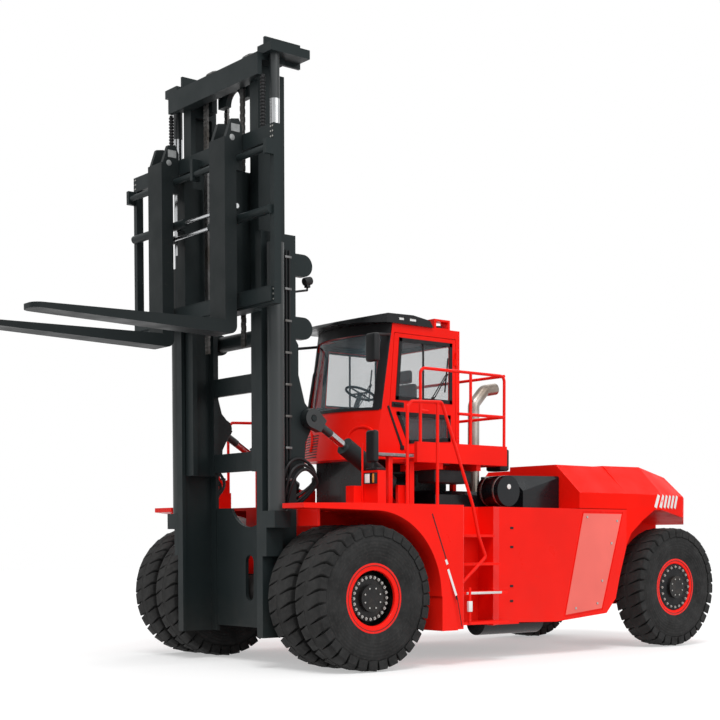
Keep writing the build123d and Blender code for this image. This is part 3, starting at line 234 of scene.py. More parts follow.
def moulded(name, colour, rough=0.5, grain=0.2):
    """Moulded plastic with a fine leather-like grain."""
    graph = Graph(name)
    toned = graph.tones(graph.noise(5.0, 4.0), colour, 0.8, 1.2)
    cells = graph.node("TexVoronoi", {"Vector": graph.coords, "Scale": 260.0}, feature="DISTANCE_TO_EDGE")
    skin = graph.bump(cells.outputs["Distance"], grain, 0.002)
    roughness = graph.rough(graph.noise(8.0), rough - 0.08, rough + 0.1)
    return graph.surface(toned, roughness, skin, Specular_IOR_Level=0.25)


def sleeved_rod(name, limit, centre=None):
    """Ground chrome rod that is dark above a height, its sleeve, or within a radius, its eye."""
    graph = Graph(name)
    marks = graph.noise(120.0, 4.0, DRAWN)
    bright = graph.tones(marks, CHROME, 0.7, 1.1)
    if centre is None:
        chromed = graph.span(graph.height(), limit - 0.004, limit + 0.004, 1.0, 0.0)
    else:
        chromed = graph.span(graph.radius(centre), limit - 0.004, limit + 0.004, 0.0, 1.0)
    dark = graph.tones(graph.noise(5.0, 5.0), (0.014, 0.018, 0.019), 0.8, 1.2)
    roughness = graph.span(chromed, 0.0, 1.0, 0.45, 0.16)
    shade = graph.mix(chromed, dark, bright)
    return graph.surface(shade, roughness, graph.bump(marks, 0.06, 0.002), Metallic=chromed)


def cloth(name, colour):
    """Woven seat cloth with a crossed weave and a soft sheen."""
    graph = Graph(name)
    crossed = graph.math("MULTIPLY", graph.wave(110.0, "X", 0.6), graph.wave(110.0, "Z", 0.6))
    toned = graph.mix(crossed, [c * 0.6 for c in colour], [c * 1.7 for c in colour])
    return graph.surface(toned, 0.9, graph.bump(crossed, 0.4, 0.002), Sheen_Weight=0.3, Sheen_Roughness=0.5)


def pane(name, tint, alpha):
    """Window glass: a bluish tint with rain-dried cloudiness."""
    graph = Graph(name)
    film = graph.span(graph.noise(2.5, 6.0), 0.4, 0.75, 0.015, 0.07)
    toned = graph.tones(graph.noise(0.8), tint, 0.85, 1.1)
    made = graph.surface(toned, film, Alpha=alpha, IOR=1.5, Specular_IOR_Level=0.5)
    made.blend_method = "BLEND"
    return made


def lens(name, colour, glow):
    """Ribbed lamp lens."""
    graph = Graph(name)
    ribs = graph.wave(60.0, "X")
    others = {"Coat_Weight": 0.6, "Emission_Color": (*colour, 1.0), "Emission_Strength": glow}
    return graph.surface(graph.tones(ribs, colour, 0.8, 1.1), 0.12, graph.bump(ribs, 0.3, 0.003), **others)


def chequered(name, colour):
    """Raised-lozenge floor plate."""
    graph = Graph(name)
    turned = graph.mapped(Rotation=(0.0, 0.0, math.radians(45)))
    cells = graph.node("TexVoronoi", {"Vector": turned, "Scale": 26.0}, feature="F1", distance="CHEBYCHEV")
    height = graph.span(cells.outputs["Distance"], 0.28, 0.38, 1.0, 0.0)
    toned = graph.mix(height, [c * 0.8 for c in colour], [min(1.0, c * 1.2) for c in colour])
    return graph.surface(toned, 0.42, graph.bump(height, 0.5, 0.004), Metallic=0.2)


finishes = {}


def make_finishes(colours):
    red = tuple(colours.body_red)
    grey = tuple(colours.mast_grey)
    # sunlit is a painted highlight: the hinged panels' red made paler to stand in for sunlight on them
    sunlit = (0.95 * red[0], 14.0 * red[1], 25.0 * red[2])
    fork_grey = [c * 0.62 for c in grey]
    tilt_eye = at(0.0, -0.175, 3.20)
    # The near-black hub colours are painted shade of each wheel's recess
    for end, y, hub in (("front", 0.0, (0.007, 0.0065, 0.0065)), ("rear", REAR_Y, (0.008, 0.0075, 0.0075))):
        centre = at(0.0, y, WHEEL_Z)
        finishes["rubber_" + end] = rubber(end + " tyre rubber", centre)
        finishes["rim_" + end] = wheel_paint(end + " wheel paint", centre, red, hub)
    for side, height in (("left", 5.78), ("right", 5.61)):
        shaft = at(0.0, -1.165, height)
        name = side + " fork enamel"
        finishes["fork " + side] = paint(name, fork_grey, 0.46, dust=0.0, peel=0.12, shine=0.15, rod=shaft)
    finishes.update({
        "red": paint("body red enamel", red, 0.32, coat=0.03, dust=0.05, shine=0.10),
        "rail red": paint("rail red enamel", red, 0.36, coat=0.03, dust=0.0, shine=0.12),
        "panel": paint("sunlit panel red", sunlit, 0.34, coat=0.04, dust=0.03),
        "mast": paint("mast dark enamel", grey, 0.42, coat=0.02, dust=0.1, level=1.0, peel=0.09, shine=0.13),
        "weight": paint("counterweight red enamel", red, 0.45, dust=0.04, shine=0.03),
        "ram": paint("cylinder grey enamel", (0.040, 0.045, 0.046), 0.34, coat=0.08, dust=0.0),
        "black": paint("gloss black enamel", (0.006, 0.008, 0.010), 0.22, coat=0.14, dust=0.0),
        "white": paint("white marking enamel", (0.80, 0.80, 0.78), 0.4, dust=0.0),
        "hose": moulded("black hose rubber", (0.009, 0.009, 0.010), 0.45, 0.3),
        "lining": moulded("dark cab lining", (0.020, 0.021, 0.023), 0.7, 0.3),
        "lift rod": sleeved_rod("lift rod with sleeve", 7.10),
        "tilt rod": sleeved_rod("tilt rod with eye", 0.36, tilt_eye),
        "cast": cast("cast iron", (0.045, 0.044, 0.043)),
        "bolt": bare_steel("zinc plated bolts", (0.42, 0.41, 0.39), 0.35),
        "keeper": cast("pale keeper steel", (0.26, 0.27, 0.27), 0.5),
        "chain": bare_steel("oiled chain steel", (0.17, 0.17, 0.17), 0.4, EVEN, (0.05, 0.04, 0.03)),
        "stack": bare_steel("exhaust steel", (0.36, 0.33, 0.30), 0.3, (0.2, 0.2, 1.0), (0.13, 0.09, 0.06)),
        "plastic": moulded("black moulded plastic", (0.010, 0.011, 0.012)),
        "gasket": moulded("black window rubber", (0.007, 0.007, 0.008), 0.6, 0.1),
        "visor": moulded("glossy black visor", (0.007, 0.008, 0.009), 0.28, 0.04),
        "cloth": cloth("woven seat cloth", (0.035, 0.035, 0.04)),
        "screen": pane("windscreen glass", (0.16, 0.22, 0.25), 0.22),
        "window": pane("door glass", (0.24, 0.28, 0.30), 0.13),
        "clear": lens("clear lamp lens", (0.85, 0.86, 0.84), 0.2),
        "amber": lens("amber lens", (0.85, 0.30, 0.03), 0.1),
        "deck": chequered("chequered step plate", (0.24, 0.24, 0.24)),
        "plate": bare_steel("bright tread edge", (0.62, 0.62, 0.60), 0.35),
    })


# A name that ends in an underscore stands for its left and right nodes
node_finishes = {
    "red": "frame fender_ side_ cab door_ walkway",
    "rail red": "rails handrails",
    "mast": "mast_outer mast_inner carriage tilt_barrel_",
    "fork left": "fork_left",
    "fork right": "fork_right",
    "weight": "counterweight",
    "ram": "lift_barrels",
    "black": "hood air_drum low_tanks cab_base",
    "cast": "engine drive_axle steer_axle knuckle_",
    "lift rod": "lift_rods",
    "tilt rod": "tilt_rod_",
    "chain": "lift_chains pulleys",
    "stack": "exhaust",
    "visor": "cab_visor",
    "plastic": "controls mirrors",
    "cloth": "seat",
    "screen": "cab_glass",
    "window": "door_glass_",
    "clear": "lamps",
    "rubber_front": "tyre_front_",
    "rubber_rear": "tyre_rear_",
    "rim_front": "rim_front_",
    "rim_rear": "rim_rear_",
}

# Shaping tools


def soften(shape, edges, size, steps=2):
    bmesh.ops.bevel(shape, geom=edges, offset=size, segments=steps, profile=0.5, affect="EDGES", material=-1)


def box_in(shape, low, high, edge=0.0, steps=2, turn=None):
    """Adds a block between two corners, its edges rounded, turned about its own middle."""
    low, high = Vector(map(min, low, high)), Vector(map(max, low, high))
    middle = (low + high) / 2
    place = Matrix.Translation(middle) @ (turn or Matrix.Identity(4)) @ Matrix.Diagonal((*(high - low), 1.0))
    verts = bmesh.ops.create_cube(shape, size=1.0, matrix=place)["verts"]
    if edge > 0.0:
        soften(shape, list({e for v in verts for e in v.link_edges}), edge, steps)


def bar_in(shape, start, end, radius, count=16, edge=0.0):
    """Adds a round bar between two points."""
    start, end = Vector(start), Vector(end)
    axis = end - start
    place = Matrix.Translation((start + end) / 2) @ axis.to_track_quat("Z", "Y").to_matrix().to_4x4()
    verts = bmesh.ops.create_cone(
        shape, cap_ends=True, segments=count, radius1=radius, radius2=radius, depth=axis.length, matrix=place
    )["verts"]
    if edge > 0.0:
        edges = {e for v in verts for e in v.link_edges}
        soften(shape, [e for e in edges if any(len(f.verts) > 4 for f in e.link_faces)], edge)


def pin_in(shape, near, far, place, radius, count=16, edge=0.0):
    """Adds a round bar that points sideways, at a place given as Y and height."""
    bar_in(shape, at(near, *place), at(far, *place), radius, count, edge)


def dress(shape, boxes=(), bars=(), where=signs):
    """Adds blocks and bars on both sides or one; their corners and ends are the left side's."""
    for add, rows in ((box_in, boxes), (bar_in, bars)):
        for sign in where:
            for start, end, *form in rows:
                add(shape, at(sign * start[0], *start[1:]), at(sign * end[0], *end[1:]), *form)


def ring_in(shape, outline, centre, steps):
    """Spins an outline of points about a line along X into a closed ring."""
    verts = [shape.verts.new(point) for point in outline]
    edges = [shape.edges.new(pair) for pair in zip(verts, verts[1:])]
    bmesh.ops.spin(
        shape, geom=verts + edges, cent=centre, axis=(1, 0, 0), angle=math.tau, steps=steps, use_merge=True
    )
    bmesh.ops.remove_doubles(shape, verts=shape.verts, dist=0.0002)
    bmesh.ops.recalc_face_normals(shape, faces=shape.faces)


def tube_in(shape, points, radius):
    """Adds a round tube along a smooth line."""
    line = bpy.data.curves.new("line", "CURVE")
    line.dimensions = "3D"
    line.bevel_depth = radius
    line.bevel_resolution = 3
    line.use_fill_caps = True
    line.resolution_u = 6
    spline = line.splines.new("NURBS")
    spline.points.add(len(points) - 1)
    for place, point in zip(spline.points, points):
        place.co = (*point, 1.0)
    spline.order_u = 3
    spline.use_endpoint_u = True
    carrier = stand("line", line)
    mesh = bpy.data.meshes.new_from_object(carrier)
    shape.from_mesh(mesh)
    bpy.data.objects.remove(carrier)
    bpy.data.meshes.remove(mesh)


def slant_in(shape, x, start, end, width, depth):
    """Adds a flat bar on a side wall between two places given as Y and height."""
    start, end = at(x, *start), at(x, *end)
    run = end - start
    place = Matrix.Translation((start + end) / 2) @ Matrix.Rotation(math.atan2(run.z, run.y), 4, "X")
    size = Matrix.Diagonal((depth, run.length + width, width, 1.0))
    bmesh.ops.create_cube(shape, size=1.0, matrix=place @ size)


def nose_spot(x, z, out=0.0):
    """A place on the cab's raked and curved front."""
    return at(x, NOSE_Y - NOSE_LEAN * (NOSE_TOP - z) - math.sqrt((NOSE_ARC + out) ** 2 - x ** 2), z)


def nose_plate(shape, low, high, out, depth, cuts=12):
    """Adds a plate bent to the cab's front between two corners given as X and height."""
    near, far = sorted((low[0], high[0]))
    plate = bmesh.new()
    bmesh.ops.create_cube(plate, size=1.0)
    across = [e for e in plate.edges if abs(e.verts[0].co.x - e.verts[1].co.x) > 0.5]
    bmesh.ops.subdivide_edges(plate, edges=across, cuts=cuts, use_grid_fill=True)
    for vert in plate.verts:
        u, w, v = (part + 0.5 for part in vert.co)
        vert.co = nose_spot(near + (far - near) * u, low[1] + (high[1] - low[1]) * v, out + depth * w)
    bmesh.ops.recalc_face_normals(plate, faces=plate.faces)
    join(shape, plate)


def mesh_of(name, shape):
    mesh = bpy.data.meshes.new(name)
    shape.to_mesh(mesh)
    shape.free()
    return mesh


def stand(name, data):
    made = bpy.data.objects.new(name, data)
    bpy.context.scene.collection.objects.link(made)
    return made


def join(shape, other):
    """Moves one shape into another."""
    mesh = mesh_of("part", other)
    shape.from_mesh(mesh)
    bpy.data.meshes.remove(mesh)


def piece(name, shape, finish, body="chassis", replaces=(), angle=35.0):
    """Turns a bmesh into a piece that rides on a body; its slot follows from its finish."""
    mesh = mesh_of(name, shape)
    mesh.materials.append(finishes[finish])
    mesh.shade_smooth()
    mesh.set_sharp_from_angle(angle=math.radians(angle))
    made = stand(name, mesh)
    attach(made, body)
    if replaces:
        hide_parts(*replaces)
    return made


# Half of a tyre's section as distance from its middle plane and radius
TYRE_WALL = (
    (0.205, 0.438), (0.222, 0.50), (0.246, 0.58), (0.25, 0.66), (0.244, 0.73), (0.222, 0.80),
    (0.190, 0.848), (0.06, 0.868), (0.035, 0.910),
)
LUG_INNER = 0.03
LUG_OUTER = 0.246
LUG_FOOT = 0.82
LUG_TOP = 0.92


def tyre_shape(middle, centre, lugs, groove):
    """A carcass spun from its section, and two rows of leaning lugs wrapped over the shoulders."""
    shape = bmesh.new()
    section = [(-x, r) for x, r in TYRE_WALL] + [(x, r) for x, r in reversed(TYRE_WALL)]
    ring_in(shape, [(x, 0.0, r) for x, r in (*section, section[0])], (0, 0, 0), 96)
    pitch = math.tau / lugs
    half = (WHEEL_Z * pitch - groove) / 2
    lug = bmesh.new()
    box_in(lug, (LUG_INNER, -half, LUG_FOOT), (LUG_OUTER, half, LUG_TOP))
    long_edges = [e for e in lug.edges if abs(e.verts[0].co.x - e.verts[1].co.x) > 0.1]
    bmesh.ops.subdivide_edges(lug, edges=long_edges, cuts=3, use_grid_fill=True)
    for vert in lug.verts:
        out = vert.co.x
        top = vert.co.z > (LUG_FOOT + LUG_TOP) / 2
        if out > 0.22:
            vert.co.z = 0.882 if top else 0.77
        elif top:
            vert.co.z = 0.913 - 0.03 * out
        # each lug widens towards the centre rib and leans on its way out
        lean = 0.42 * (out - (LUG_INNER + LUG_OUTER) / 2)
        vert.co.y = vert.co.y * (1.27 - 1.25 * (out - LUG_INNER)) + lean
    soften(lug, [e for e in lug.edges if e.calc_face_angle(0.0) > 0.6], 0.007, 1)
    mesh = mesh_of("lug", lug)
    for turn in (Matrix.Identity(4), Matrix.Rotation(pitch / 2, 4, "X") @ Matrix.Rotation(math.pi, 4, "Z")):
        mesh.transform(turn)
        for index in range(lugs):
            shape.from_mesh(mesh)
            mesh.transform(Matrix.Rotation(pitch, 4, "X"))
    bpy.data.meshes.remove(mesh)
    bmesh.ops.translate(shape, verts=shape.verts, vec=Vector((middle, 0.0, 0.0)) + centre)
    return shape


# Settings


enamel = {"subtype": "COLOR", "min": 0.0, "max": 1.0}
metres = {"unit": "LENGTH", "min": 0.0}


class TruckColours(bpy.types.PropertyGroup):
    body_red: FloatVectorProperty(
        name="Body red", description="Enamel of body, cab and rails", default=(0.90, 0.011, 0.005), **enamel
    )
    mast_grey: FloatVectorProperty(
        name="Mast grey", description="Enamel of mast and forks", default=(0.015, 0.021, 0.022), **enamel
    )


class TruckSizes(bpy.types.PropertyGroup):
    lug_count: IntProperty(name="Lugs", description="Tread lugs around one row", default=32, min=12, max=60)
    groove: FloatProperty(name="Groove", description="Open width between two lugs", default=0.045, **metres)
    bolt_radius: FloatProperty(name="Nut", description="Half width of a wheel nut", default=0.021, **metres)
    chain_pitch: FloatProperty(name="Pitch", description="Spacing of chain pins", default=0.0508, **metres)
    stripe_width: FloatProperty(name="Stripe", description="Width of one stripe", default=0.062, **metres)
    lamp_level: FloatProperty(name="Key light", description="Strength of the main sun", default=1.7, min=0.0)


class TruckPiece:
    bl_options = {"REGISTER", "UNDO"}

    @property
    def sizes(self):
        return bpy.context.scene.truck_sizes


class TRUCK_OT_finishes(TruckPiece, bpy.types.Operator):
    """Gives every CAD node its finish"""
    bl_idname = "truck.finishes"
    bl_label = "Finishes"

    def execute(self, context):
        make_finishes(context.scene.truck_colours)
        for finish, names in node_finishes.items():
            for name in names.split():
                for end in ("left", "right") if name.endswith("_") else ("",):
                    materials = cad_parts[name + end].data.materials
                    materials.clear()
                    materials.append(finishes[finish])
        return {"FINISHED"}


class TRUCK_OT_tyres(TruckPiece, bpy.types.Operator):
    """Twin front tyres and single rear tyres"""
    bl_idname = "truck.tyres"
    bl_label = "Tyres"

    def execute(self, context):
        sizes = self.sizes
        places = (("front", 0.0, (1.95, 1.38), "wheels_front_"), ("rear", REAR_Y, (1.48,), "wheel_rear_"))
        for end, y, middles, body in places:
            for side, sign in sides:
                whole = bmesh.new()
                for middle in middles:
                    tyre = tyre_shape(sign * middle, at(0.0, y, WHEEL_Z), sizes.lug_count, sizes.groove)
                    join(whole, tyre)
                name = "tyre_" + end + "_" + side
                piece("lugged_" + name, whole, "rubber_" + end, body + side, [name], 28.0)
        return {"FINISHED"}


class TRUCK_OT_wheel_nuts(TruckPiece, bpy.types.Operator):
    """Red rim rings, rear hub plates and the nuts of hubs and caps"""
    bl_idname = "truck.wheel_nuts"
    bl_label = "Wheel nuts"

    def ring_of_nuts(self, shape, centre, sign, face, ring, count, start, bars):
        """Adds nuts in a ring, each of bars with a height, a radius and a count of sides."""
        for index in range(count):
            angle = (index + start) * math.tau / count
            spot = centre + Vector((sign * face, ring * math.cos(angle), ring * math.sin(angle)))
            for height, radius, flats in bars:
                bar_in(shape, spot, spot + Vector((sign * height, 0, 0)), radius, flats)

    def execute(self, context):
        radius = self.sizes.bolt_radius
        wheel_nut = ((0.022, radius, 6), (0.036, radius * 0.5, 8))
        # end, axle, body, nut face, nut ring, nuts, cap face, ring's outer face, ring's inner radius
        places = (
            ("front", 0.0, "wheels_front_", 2.06, 0.262, 24, 2.12, 2.150, 0.346),
            ("rear", REAR_Y, "wheel_rear_", 1.667, 0.312, 20, 1.72, 1.682, 0.362),
        )
        for end, y, body, face, ring, count, nose, lip, inner in places:
            section = (
                (lip - 0.03, 0.405), (lip, 0.405), (lip - 0.006, inner + 0.006), (lip - 0.014, inner),
                (lip - 0.044, inner), (lip - 0.03, 0.405),
            )
            centre = at(0.0, y, WHEEL_Z)
            for side, sign in sides:
                shape = bmesh.new()
                self.ring_of_nuts(shape, centre, sign, face, ring, count, 0.0, wheel_nut)
                self.ring_of_nuts(shape, centre, sign, nose, 0.13, 8, 0.5, ((0.012, 0.012, 6),))
                piece("wheel_nuts_" + end + "_" + side, shape, "bolt", body + side)
                shape = bmesh.new()
                ring_in(shape, [centre + Vector((sign * x, 0.0, r)) for x, r in section], centre, 64)
                piece("rim_ring_" + end + "_" + side, shape, "rail red", body + side)
                if end == "rear":
                    shape = bmesh.new()
                    pin_in(shape, sign * 1.650, sign * face, (y, WHEEL_Z), inner - 0.003, 64, 0.003)
                    piece("hub_plate_" + side, shape, "gasket", body + side)
        return {"FINISHED"}


class TRUCK_OT_chains(TruckPiece, bpy.types.Operator):
    """Leaf chains over the mast pulleys"""
    bl_idname = "truck.chains"
    bl_label = "Lift chains"

    def execute(self, context):
        pitch = self.sizes.chain_pitch
        middle, top, foot, anchor = -0.60, 7.69, 4.16, 5.35
        radius = 0.162
        turns = int(math.pi * radius / pitch)
        rise = range(int((top - foot) / pitch) + 1)
        fall = range(1, int((top - anchor) / pitch) + 1)
        pins = [(middle - radius, foot + pitch * row, 0.0) for row in rise]
        for index in range(turns + 1):
            angle = math.pi * index / turns
            pins.append((middle - radius * math.cos(angle), top + radius * math.sin(angle), -angle))
        pins += [(middle + radius, top - pitch * row, 0.0) for row in fall]
        half_link = Vector((0.0035, 0.0155, pitch * 0.62))
        half_pin = Vector((0.044, 0, 0))
        for side, sign in sides:
            shape = bmesh.new()
            for index, (y, z, turn) in enumerate(pins):
                spot = at(sign * 0.43, y, z)
                shift = 0.0 if index % 2 else 0.008
                for offset in (-0.034, -0.012, 0.012, 0.034):
                    link = spot + Vector((offset + shift, 0, 0))
                    box_in(shape, link - half_link, link + half_link, turn=Matrix.Rotation(turn, 4, "X"))
                bar_in(shape, spot - half_pin, spot + half_pin, 0.008, 6)
            made = piece("leaf_chain_" + side, shape, "chain", "inner_mast")
        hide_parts("lift_chains")
        return {"FINISHED"}


class TRUCK_OT_seat(TruckPiece, bpy.types.Operator):
    """Driver's seat with crowned cushions on its pedestal"""
    bl_idname = "truck.seat"
    bl_label = "Seat"

    def execute(self, context):
        parts = (
            ("seat_cushion", (-0.25, 1.88, 3.18), (0.25, 2.36, 3.33), 0.05),
            ("seat_back", (-0.24, 2.26, 3.30), (0.24, 2.39, 3.90), 0.045),
            ("seat_head", (-0.14, 2.27, 3.91), (0.14, 2.38, 4.10), 0.04),
        )
        for name, low, high, edge in parts:
            low, high = at(*low), at(*high)
            shape = bmesh.new()
            box_in(shape, low, high, edge, 3)
            bmesh.ops.subdivide_edges(shape, edges=shape.edges, cuts=1, use_grid_fill=True)
            middle, half = (low + high) / 2, (high - low) / 2
            thin = min(range(3), key=lambda axis: half[axis])
            for vert in shape.verts:
                part = [(vert.co[axis] - middle[axis]) / half[axis] for axis in range(3)]
                rim = max(abs(part[axis]) for axis in range(3) if axis != thin)
                vert.co[thin] = middle[thin] + (vert.co[thin] - middle[thin]) * (1.0 - 0.30 * rim ** 3)
            made = piece(name, shape, "cloth", angle=80.0)
            soft = made.modifiers.new("soft", "SUBSURF")
            soft.levels = soft.render_levels = 1
        shape = bmesh.new()
        box_in(shape, at(-0.18, 1.98, 2.83), at(0.18, 2.28, 3.10), 0.02)
        for z in (2.90, 2.96, 3.02, 3.08):
            box_in(shape, at(-0.195, 1.965, z), at(0.195, 2.295, z + 0.025), 0.01)
        box_in(shape, at(-0.22, 1.92, 3.11), at(0.22, 2.34, 3.18), 0.012)
        for x in (-0.05, 0.05):
            bar_in(shape, at(x, 2.325, 3.86), at(x, 2.325, 3.94), 0.008)
        piece("seat_pedestal", shape, "plastic", replaces=["seat"])
        return {"FINISHED"}


class TRUCK_OT_doors(TruckPiece, bpy.types.Operator):
    """Window rubbers, handles, wipers and dark linings on the doors"""
    bl_idname = "truck.doors"
    bl_label = "Door trim"

    # Places on the door as Y and height
    windows = (
        ((1.545, 4.39), (2.47, 4.39), (2.47, 3.59), (1.48, 3.59)),
        ((1.50, 3.38), (2.44, 3.38), (2.44, 3.06), (1.69, 3.00)),
    )
    linings = (
        ((1.46, 4.43), (2.54, 4.43), 0.07), ((1.40, 3.485), (2.54, 3.485), 0.17),
        ((2.51, 2.90), (2.51, 4.43), 0.07), ((1.68, 2.925), (2.54, 2.925), 0.12),
        ((1.415, 3.48), (1.50, 4.42), 0.07), ((1.43, 3.40), (1.665, 2.93), 0.07),
    )
    # Blocks are two corners and an edge, bars two ends, a radius and a count of sides
    handle_plate = (((0.831, 1.385, 3.462), (0.841, 1.60, 3.535), 0.004),)
    handle = (
        ((0.855, 1.42, 3.50), (0.855, 1.56, 3.50), 0.012, 10),
        ((0.838, 1.43, 3.50), (0.857, 1.43, 3.50), 0.009, 8),
        ((0.838, 1.55, 3.50), (0.857, 1.55, 3.50), 0.009, 8),
    )
    wiper = (
        ((0.852, 2.10, 3.62), (0.852, 2.37, 3.98), 0.008, 8),
        ((0.852, 2.14, 3.62), (0.852, 2.40, 3.98), 0.008, 8),
        ((0.852, 2.34, 3.72), (0.852, 2.40, 4.20), 0.011, 8),
        ((0.834, 2.12, 3.62), (0.862, 2.12, 3.62), 0.022, 12),
    )
    pocket = (((0.756, 1.72, 3.03), (0.764, 2.42, 3.36), 0.002),)
    hooks = (
        ((0.757, 1.80, 3.385), (0.777, 1.80, 3.385), 0.02, 10),
        ((0.760, 1.80, 3.33), (0.760, 1.80, 3.40), 0.012, 10),
        ((0.757, 2.34, 3.385), (0.777, 2.34, 3.385), 0.02, 10),
        ((0.760, 2.34, 3.33), (0.760, 2.34, 3.40), 0.012, 10),
    )

    def execute(self, context):
        for side, sign in sides:
            shape = bmesh.new()
            for outline in self.windows:
                for start, end in zip(outline, (*outline[1:], outline[0])):
                    slant_in(shape, sign * 0.834, start, end, 0.052, 0.010)
            slant_in(shape, sign * 0.826, (1.96, 3.60), (1.96, 4.38), 0.024, 0.016)
            dress(shape, self.handle_plate, self.handle + self.wiper, (sign,))
            piece("door_rubbers_" + side, shape, "gasket", "door_" + side)
            shape = bmesh.new()
            for start, end, width in self.linings:
                slant_in(shape, sign * 0.7765, start, end, width, 0.005)
            dress(shape, self.pocket, self.hooks, (sign,))
            piece("door_lining_" + side, shape, "lining", "door_" + side)
        return {"FINISHED"}


class TRUCK_OT_cab_trim(TruckPiece, bpy.types.Operator):
    """Dark windscreen surround, wipers, painted shade in and beside the grille slots, nose arches and inner
    lining
    """
    bl_idname = "truck.cab_trim"
    bl_label = "Cab trim"

    def execute(self, context):
        shape = bmesh.new()
        nose_plate(shape, (-0.832, 4.462), (0.832, 4.598), 0.002, 0.010, 20)
        nose_plate(shape, (-0.80, 3.412), (0.80, 3.452), 0.002, 0.010, 20)
        for sign in signs:
            nose_plate(shape, (sign * 0.725, 3.425), (sign * 0.832, 4.598), 0.002, 0.012, 3)
            slant_in(shape, sign * 0.835, (1.325, 3.46), (1.575, 2.90), 0.032, 0.010)
            box_in(shape, at(sign * 0.830, 1.535, 2.885), at(sign * 0.846, 1.60, 2.945), 0.004)
        bar_in(shape, at(0.72, 2.33, 4.60), at(0.72, 2.33, 4.655), 0.055, 20, 0.004)
        piece("screen_surround", shape, "gasket")

        shape = bmesh.new()
        feet = (-0.70, -0.645)
        for foot, head in zip(feet, (-0.60, -0.56)):
            bar_in(shape, nose_spot(foot, 3.44, 0.045), nose_spot(head, 4.02, 0.05), 0.012, 8)
        for foot in feet:
            bar_in(shape, nose_spot(foot, 3.44), nose_spot(foot, 3.44, 0.06), 0.022, 10)
        bar_in(shape, nose_spot(-0.66, 3.60, 0.035), nose_spot(-0.53, 4.32, 0.035), 0.016, 8)
        bar_in(shape, nose_spot(-0.61, 3.98, 0.03), nose_spot(-0.55, 4.03, 0.055), 0.014, 8)
        piece("screen_wiper", shape, "plastic")

        # painted shade: dark plates sit down in the louvre slots, and dark strips on the surface carry the
        # row of slots further in
        shape = bmesh.new()
        for row in range(9):
            z = 2.802 + 0.038 * row
            nose_plate(shape, (-0.795, z), (-0.385, z + 0.0145), -0.013, 0.011, 6)
            nose_plate(shape, (-0.372, z), (-0.21, z + 0.0145), 0.001, 0.003, 3)
        piece("grille_slot_shade", shape, "gasket")

        shape = bmesh.new()
        angles = (-0.5, 0.0, 0.5, 1.0, 1.57, 2.14, 2.64, 3.14, 3.64)
        for sign in signs:
            arch = [(sign * (0.60 + 0.21 * math.cos(a)), 2.99 + 0.21 * math.sin(a)) for a in angles]
            tube_in(shape, [nose_spot(*spot, 0.004) for spot in arch], 0.020)
        piece("nose_arches", shape, "red")

        shape = bmesh.new()
        for x, y0, y1, z0, z1 in (
            (0.77, 1.42, 2.585, 4.464, 4.474), (0.42, 1.27, 1.42, 4.464, 4.474),
            (0.775, 2.582, 2.587, 2.85, 3.44), (0.775, 2.582, 2.587, 4.405, 4.464),
            (0.77, 1.50, 2.58, 2.832, 2.842),
        ):
            box_in(shape, at(-x, y0, z0), at(x, y1, z1))
        for sign in signs:
            box_in(shape, at(sign * 0.705, 2.582, 3.44), at(sign * 0.775, 2.587, 4.405))
            nose_plate(shape, (sign * 0.71, 3.44), (sign * 0.772, 4.46), -0.064, 0.008, 3)
        nose_plate(shape, (-0.76, 2.85), (0.76, 3.425), -0.064, 0.008)
        piece("cab_lining", shape, "lining")
        return {"FINISHED"}


class TRUCK_OT_mirrors(TruckPiece, bpy.types.Operator):
    """Rounded mirror housings on their brackets"""
    bl_idname = "truck.mirrors"
    bl_label = "Mirrors"

    housings = (
        ((1.70, 0.22, 2.62), (1.90, 0.30, 3.03), 0.036, 4),
        ((0.90, 0.86, 4.02), (1.11, 0.965, 4.40), 0.036, 4),
        ((1.70, 0.225, 2.521), (1.94, 0.345, 2.555), 0.014),
    )
    brackets = (
        ((1.80, 0.26, 2.545), (1.80, 0.26, 2.66), 0.02),
        ((0.80, 1.40, 4.45), (1.00, 0.92, 4.39), 0.02),
        ((0.80, 1.40, 4.41), (0.80, 1.40, 4.49), 0.026),
    )

    def execute(self, context):
        shape = bmesh.new()
        dress(shape, self.housings, self.brackets)
        piece("mirror_housings", shape, "plastic", replaces=["mirrors"])
        return {"FINISHED"}


